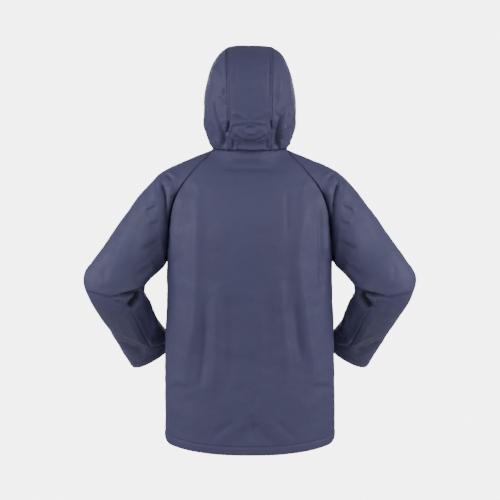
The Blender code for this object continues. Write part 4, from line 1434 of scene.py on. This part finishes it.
def cloth_finish(name, dark, light, roughness, sheen, coat_grain):
    """Woven cloth: colour that drifts between two tones, and bumps of three sizes.

    Painted shade darkens the colour: at 1, as deep in a crease, it is a quarter of the darker
    tone.
    """
    tree = Tree(name)
    flat = tree.add("ShaderNodeUVMap", {"uv_map": "flat_pattern"}).outputs["UV"]
    # The painted shade of seams, grooves and creases, kept on each point of the mesh
    seam = tree.add("ShaderNodeAttribute", {"attribute_name": "painted_shade"}).outputs["Fac"]
    drift = tree.noise(scale=7.0, detail=3.0, roughness=0.55)
    speck = tree.noise(scale=420.0, detail=2.0, roughness=0.6)
    colour = tree.tinted(tree.between(drift, 0.0, 1.0), dark, light)
    colour = tree.tinted(tree.between(speck, 0.0, SPECK_MOST), colour, light)
    # Painted shade: the colour darkens towards a quarter of the darker tone
    colour = tree.tinted(seam, colour, (*(PAINTED_SHADE_TONE * c for c in dark[:3]), 1.0))
    crumple = tree.bump(tree.noise(scale=95.0, detail=3.0, roughness=0.5),
                        distance=0.9 * MM, strength=0.55)
    weave = tree.add("ShaderNodeMath", {"operation": "MULTIPLY"})
    for direction, factor in zip(("X", "Y"), weave.inputs):
        wave = tree.add("ShaderNodeTexWave", {"bands_direction": direction}, Vector=flat,
                        Scale=310.0, Distortion=0.6, Detail=1.0)
        tree.links.new(wave.outputs["Fac"], factor)
    woven = tree.bump(weave.outputs[0], distance=0.06 * MM, strength=0.5, normal=crumple)
    grain = tree.bump(tree.noise(scale=1400.0, detail=2.0, roughness=0.6),
                      distance=coat_grain, strength=0.6, normal=woven)
    rough = tree.between(tree.noise(scale=22.0, detail=3.0, roughness=0.6),
                         roughness - ROUGHNESS_SPREAD, roughness + ROUGHNESS_SPREAD)
    tree.to_shader(Base_Color=colour, Roughness=rough, Normal=grain, IOR=1.42,
                   Sheen_Weight=sheen, Sheen_Roughness=0.45, Sheen_Tint=(0.78, 0.82, 1.0, 1.0))
    return tree.material


CLOTH_DARK, CLOTH_LIGHT = linear(54, 52.6, 82.5), linear(60, 58.6, 90)
coated_cloth = cloth_finish("coated_cloth", CLOTH_DARK, CLOTH_LIGHT, roughness=0.66,
                            sheen=0.02, coat_grain=0.10 * MM)
reverse_cloth = cloth_finish("reverse_cloth", linear(84, 88, 108), linear(96, 100, 122),
                             roughness=0.75, sheen=0.05, coat_grain=0.05 * MM)
print("cloth colour, linear:", np.round(CLOTH_DARK[:3], 3), "to", np.round(CLOTH_LIGHT[:3], 3))

# %% The finish of the thread and the studs
def thread_finish():
    """Sewing thread in the colour of the cloth, with a fine twist across it."""
    tree = Tree("thread")
    twist = tree.noise(scale=2600.0, detail=1.0)
    colour = tree.tinted(twist, linear(48, 50, 78), linear(64, 66, 98))
    tree.to_shader(Base_Color=colour, Roughness=0.62,
                   Normal=tree.bump(twist, distance=0.05 * MM, strength=0.6))
    return tree.material


def stud_finish():
    """A stud's painted metal cap: satin, its paint a little rubbed in patches."""
    tree = Tree("press_stud")
    worn = tree.between(tree.noise(scale=380.0, detail=4.0, roughness=0.65), 0.0, 1.0)
    colour = tree.tinted(worn, linear(54, 57, 78), linear(68, 72, 96))
    rough = tree.between(tree.noise(scale=900.0), 0.30, 0.42)
    grain = tree.bump(tree.noise(scale=1800.0, detail=1.0), distance=0.02 * MM, strength=0.5)
    tree.to_shader(Base_Color=colour, Roughness=rough, Coat_Weight=0.25, Normal=grain)
    return tree.material


thread = thread_finish()
stud_paint = stud_finish()
print("materials:", coated_cloth.name, reverse_cloth.name, thread.name, stud_paint.name)

# %% The cut pieces
CAD_NODES = {
    "sleeve_left": ("sleeve_left_upper", "sleeve_left_lower"),
    "sleeve_right": ("sleeve_right_upper", "sleeve_right_lower"),
}
pieces = {}
for name, (points, shade) in turned.items():
    piece = cloth(name + "_cloth", points, shade, is_tube(name))
    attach(piece, "root")
    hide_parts(*CAD_NODES.get(name, (name,)))
    pieces[name] = piece
print("quads of cloth:", sum(len(piece.data.polygons) for piece in pieces.values()))

# %% [markdown]
# ## Stitches
# Stitching is what tells a sewn seam from a glued one. Each stitch is a short length of
# thread that rises out of one hole and goes down into the next. All the stitches of a sheet
# are worked out together, as one array of rings round their own little arcs.

# %% Where the stitches run
SEAM_STITCH = 5.0 * MM
RAGLAN_SHARE = 0.27
# kind of edge: distance of the stitches from it, and the stitched share of its line
STITCHED = {"hem": (HEM, 1.0), "lap": (LAP_STITCH, 1.0), "ridge": (SEAM_STITCH, 1.0),
            "neck": (SEAM_STITCH, 1.0), "seam": (SEAM_STITCH, RAGLAN_SHARE)}


def line_beside(name, edge, distance, end):
    """A sheet's points and normals along a line at one distance from an edge.

    They are read between the two grid lines on either side. end is how much of the line,
    as a share of its points, is kept.
    """
    grids = [edges_of(SHEETS[name][0])[edge], shaped[name],
             normals_of(shaped[name], is_tube(name))]
    far, points, out = (grid[::-1] for grid in turned_to(edge, grids))
    past = np.argmax(far >= distance, axis=0)
    column = np.arange(far.shape[1])
    before = far[past - 1, column]
    share = ((distance - before) / (far[past, column] - before))[:, None]
    line = points[past - 1, column] * (1 - share) + points[past, column] * share
    normal = out[past - 1, column] * (1 - share) + out[past, column] * share
    last = int(end * len(line))
    return line[:last], unit(normal[:last])


hem_line, hem_out = line_beside("back_panel", "bottom", *STITCHED["hem"])
print("the back's hem is stitched over", round(float(run_along(hem_line)[-1]), 3), "m")

# %% One stitch, and all stitches of a sheet
PITCH = 3.9 * MM
STITCH_HALF = 1.45 * MM
THREAD = 0.27 * MM
STITCH_SIDES = 5
# along the stitch as a share of its half length, height over the cloth, thickness
STITCH_RINGS = ((-1.0, -0.30 * MM, 0.6), (-0.55, 0.22 * MM, 1.0),
                (0.55, 0.22 * MM, 1.0), (1.0, -0.30 * MM, 0.6))


def stitches_on(line, out):
    """The rings of every stitch on one line: a tube that dips into the cloth at both ends."""
    run = run_along(line)
    middles = (np.arange(int(run[-1] / PITCH)) + 0.5) * PITCH
    rings = np.array(STITCH_RINGS)
    where = middles[:, None] + rings[:, 0] * STITCH_HALF

    def read(values):
        return np.stack([np.interp(where, run, values[:, k]) for k in range(3)], axis=-1)

    ahead = read(unit(np.gradient(line, axis=0)))
    up = unit(read(out))
    centre = read(line) + up * rings[:, 1][:, None]
    side = np.cross(ahead, up)
    angle = np.linspace(0, 2 * np.pi, STITCH_SIDES, endpoint=False)[:, None]
    round_ = np.cos(angle) * up[..., None, :] + np.sin(angle) * side[..., None, :]
    return centre[..., None, :] + round_ * (THREAD * rings[:, 2])[:, None, None]


def stitch_piece(name, lines):
    """One mesh with all the stitches of a sheet, and how many they are."""
    tubes = np.concatenate([stitches_on(line, out) for line, out in lines])
    index = np.arange(tubes.size // 3).reshape(tubes.shape[:3])
    after = np.roll(index, -1, axis=2)
    faces = np.stack([index[:, :-1], after[:, :-1], after[:, 1:], index[:, 1:]], axis=-1)
    piece = placed(name, smooth_mesh(name, tubes, faces), thread)
    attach(piece, "root")
    return piece, len(tubes)


print("stitches on the back's hem:", len(stitches_on(hem_line, hem_out)))

# %% Stitching
# The sleeves' and the hood's top edges have no stitches: their neighbours carry them
UNSTITCHED = {(name, "top") for name in SHEETS if name.startswith(("sleeve", "hood"))}
sewing, count = {}, 0
for name, (_, kinds) in SHEETS.items():
    lines = [line_beside(name, edge, *STITCHED[kind]) for edge, kind in kinds.items()
             if (name, edge) not in UNSTITCHED]
    sewing[name], made = stitch_piece(name + "_stitches", lines)
    count += made
print("stitches:", count)

# %% [markdown]
# ## Press studs
# A press stud's cap is stamped from sheet metal: a rolled rim, a shallow slope and a slight
# hollow in the middle. It is a profile turned about its own axis, seated on the cloth where
# its CAD piece is, along the cloth's own way out.

# %% Press studs
STUDS = 7
STUD_SEGMENTS = 48
# radius and height of the profile, in millimetres, from the middle out
STUD_PROFILE = ((0.0, 1.62), (1.2, 1.64), (2.2, 1.74), (3.1, 1.92), (3.9, 2.06), (4.6, 2.10),
                (5.2, 1.98), (5.6, 1.72), (5.8, 1.46), (6.0, 1.40), (6.35, 1.46), (6.7, 1.34),
                (6.95, 1.02), (7.0, 0.62), (6.9, 0.20), (6.5, -0.30))


def stud_cap(number):
    """The turned profile, placed at the stud's CAD piece with its axis along the cloth's."""
    node = f"press_stud_{number}"
    low, high = (np.array(corner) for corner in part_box(node))
    sheet = "hood_left" if number == 1 else "front_left"
    points = shaped[sheet]
    nearest = np.unravel_index(
        np.argmin(np.sum((points - (low + high) / 2) ** 2, axis=2)), points.shape[:2])
    seat, up = points[nearest], outward[sheet][nearest]
    side = unit(np.cross(up, [0.0, 0.0, 1.0]))
    angle = np.linspace(0, 2 * np.pi, STUD_SEGMENTS + 1)[:, None, None]
    radius, height = (np.array(STUD_PROFILE).T * MM)[..., None]
    ring = radius * (np.cos(angle) * side + np.sin(angle) * np.cross(up, side))
    cap = placed(f"stud_cap_{number}", grid_mesh(f"stud_cap_{number}",
                 np.swapaxes(seat + ring + up * height, 0, 1), True), stud_paint)
    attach(cap, "root")
    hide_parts(node)
    return cap


caps = [stud_cap(number) for number in range(1, STUDS + 1)]
print("stud caps:", len(caps))

# %% [markdown]
# ## The pieces with their stitches and studs
# A garment's pieces are cut flat. For each sheet, its stitches are gathered into a list with
# it, and on the left front and the left side of the hood the caps of its press studs too.


for name, piece in pieces.items():
    extra = [sewing[name]] + (caps[1:] if name == "front_left" else [])
    extra += caps[:1] if name == "hood_left" else []

# %% [markdown]
# ## Light and floor
# A studio shows cloth with large soft lights. A round panel stands beyond each arm and grazes
# the back, which brings out its long folds. Two wider, weaker ones stand high behind the coat
# and fill them, and three far ones light the front. Pale surroundings light the rest, a little
# less from below.

# %% Lights
def area_light(name, place, target, size, watts):
    """A round soft light that faces a target."""
    data = bpy.data.lights.new(name, "AREA")
    data.shape = "DISK"
    data.size = size
    data.energy = watts
    lamp = bpy.data.objects.new(name, data)
    lamp.location = place
    towards = np.array(target) - np.array(place)
    lamp.rotation_euler = (np.arccos(-towards[2] / np.linalg.norm(towards)), 0.0,
                           np.arctan2(towards[1], towards[0]) - np.pi / 2)
    bpy.context.scene.collection.objects.link(lamp)
    return lamp


LIGHT_TARGET = (0.0, 0.0, -0.3)
# name: (place, width, watts)
PANELS = {
    "side_left": ((1.6, 0.7, 0.3), 1.0, 28.0), "side_right": ((-1.6, 0.7, 0.3), 1.0, 27.5),
    "high_left": ((0.8, 2.4, 0.6), 1.6, 11.0), "high_right": ((-0.8, 2.4, 0.6), 1.6, 12.0),
    "far_left": ((0.5, -2.9, 0.9), 1.2, 26.0), "far_right": ((-0.9, -2.8, 0.5), 1.2, 14.0),
    "front": ((0.15, -3.0, 0.1), 1.6, 36.0),
}
lamps = [area_light(name, place, LIGHT_TARGET, width, watts)
         for name, (place, width, watts) in PANELS.items()]
print("lights:", [lamp.name for lamp in lamps])

# %% Surroundings
# They give less light from below, and the camera sees them as plain white
LIGHT_BELOW, LIGHT_ABOVE, SEEN_WHITE = 0.32, 0.41, 7.0
world = bpy.data.worlds.new("white_studio")
world.use_nodes = True
nodes, links = world.node_tree.nodes, world.node_tree.links
around = nodes["Background"]
around.inputs["Color"].default_value = (1.0, 1.0, 1.0, 1.0)
height = nodes.new("ShaderNodeSeparateXYZ")
links.new(nodes.new("ShaderNodeTexCoord").outputs["Generated"], height.inputs[0])
rise = nodes.new("ShaderNodeMapRange")
rise.inputs["From Min"].default_value = -1.0
rise.inputs["To Min"].default_value = LIGHT_BELOW
rise.inputs["To Max"].default_value = LIGHT_ABOVE
links.new(height.outputs["Z"], rise.inputs["Value"])
links.new(rise.outputs[0], around.inputs["Strength"])
white = nodes.new("ShaderNodeBackground")
white.inputs["Strength"].default_value = SEEN_WHITE
seen = nodes.new("ShaderNodeMixShader")
links.new(nodes.new("ShaderNodeLightPath").outputs["Is Camera Ray"], seen.inputs[0])
links.new(around.outputs[0], seen.inputs[1])
links.new(white.outputs[0], seen.inputs[2])
links.new(seen.outputs[0], nodes["World Output"].inputs["Surface"])
bpy.context.scene.world = world
print("surroundings:", LIGHT_BELOW, "below to", LIGHT_ABOVE, "above")

# %% Floor
FLOOR_Z = -1.45
FLOOR_RADIUS = 1.55
FLOOR_HOLE = 0.05
FLOOR_COLUMNS, FLOOR_ROWS = 97, 12
ring = np.linspace(0, 2 * np.pi, FLOOR_COLUMNS)[None, :, None]
reach = np.linspace(FLOOR_HOLE, 1.0, FLOOR_ROWS)[:, None, None] * FLOOR_RADIUS
floor_points = np.concatenate(
    [reach * np.cos(ring), -reach * np.sin(ring), FLOOR_Z + 0 * reach * ring], axis=2)
floor_tree = Tree("pale_floor")
pale = floor_tree.tinted(floor_tree.noise(scale=3.0), (0.80, 0.80, 0.80, 1.0),
                         (0.86, 0.86, 0.86, 1.0))
floor_tree.to_shader(Base_Color=pale, Roughness=0.8)
floor = placed("floor", grid_mesh("floor", floor_points, True), floor_tree.material)
print("floor at", FLOOR_Z, "m")
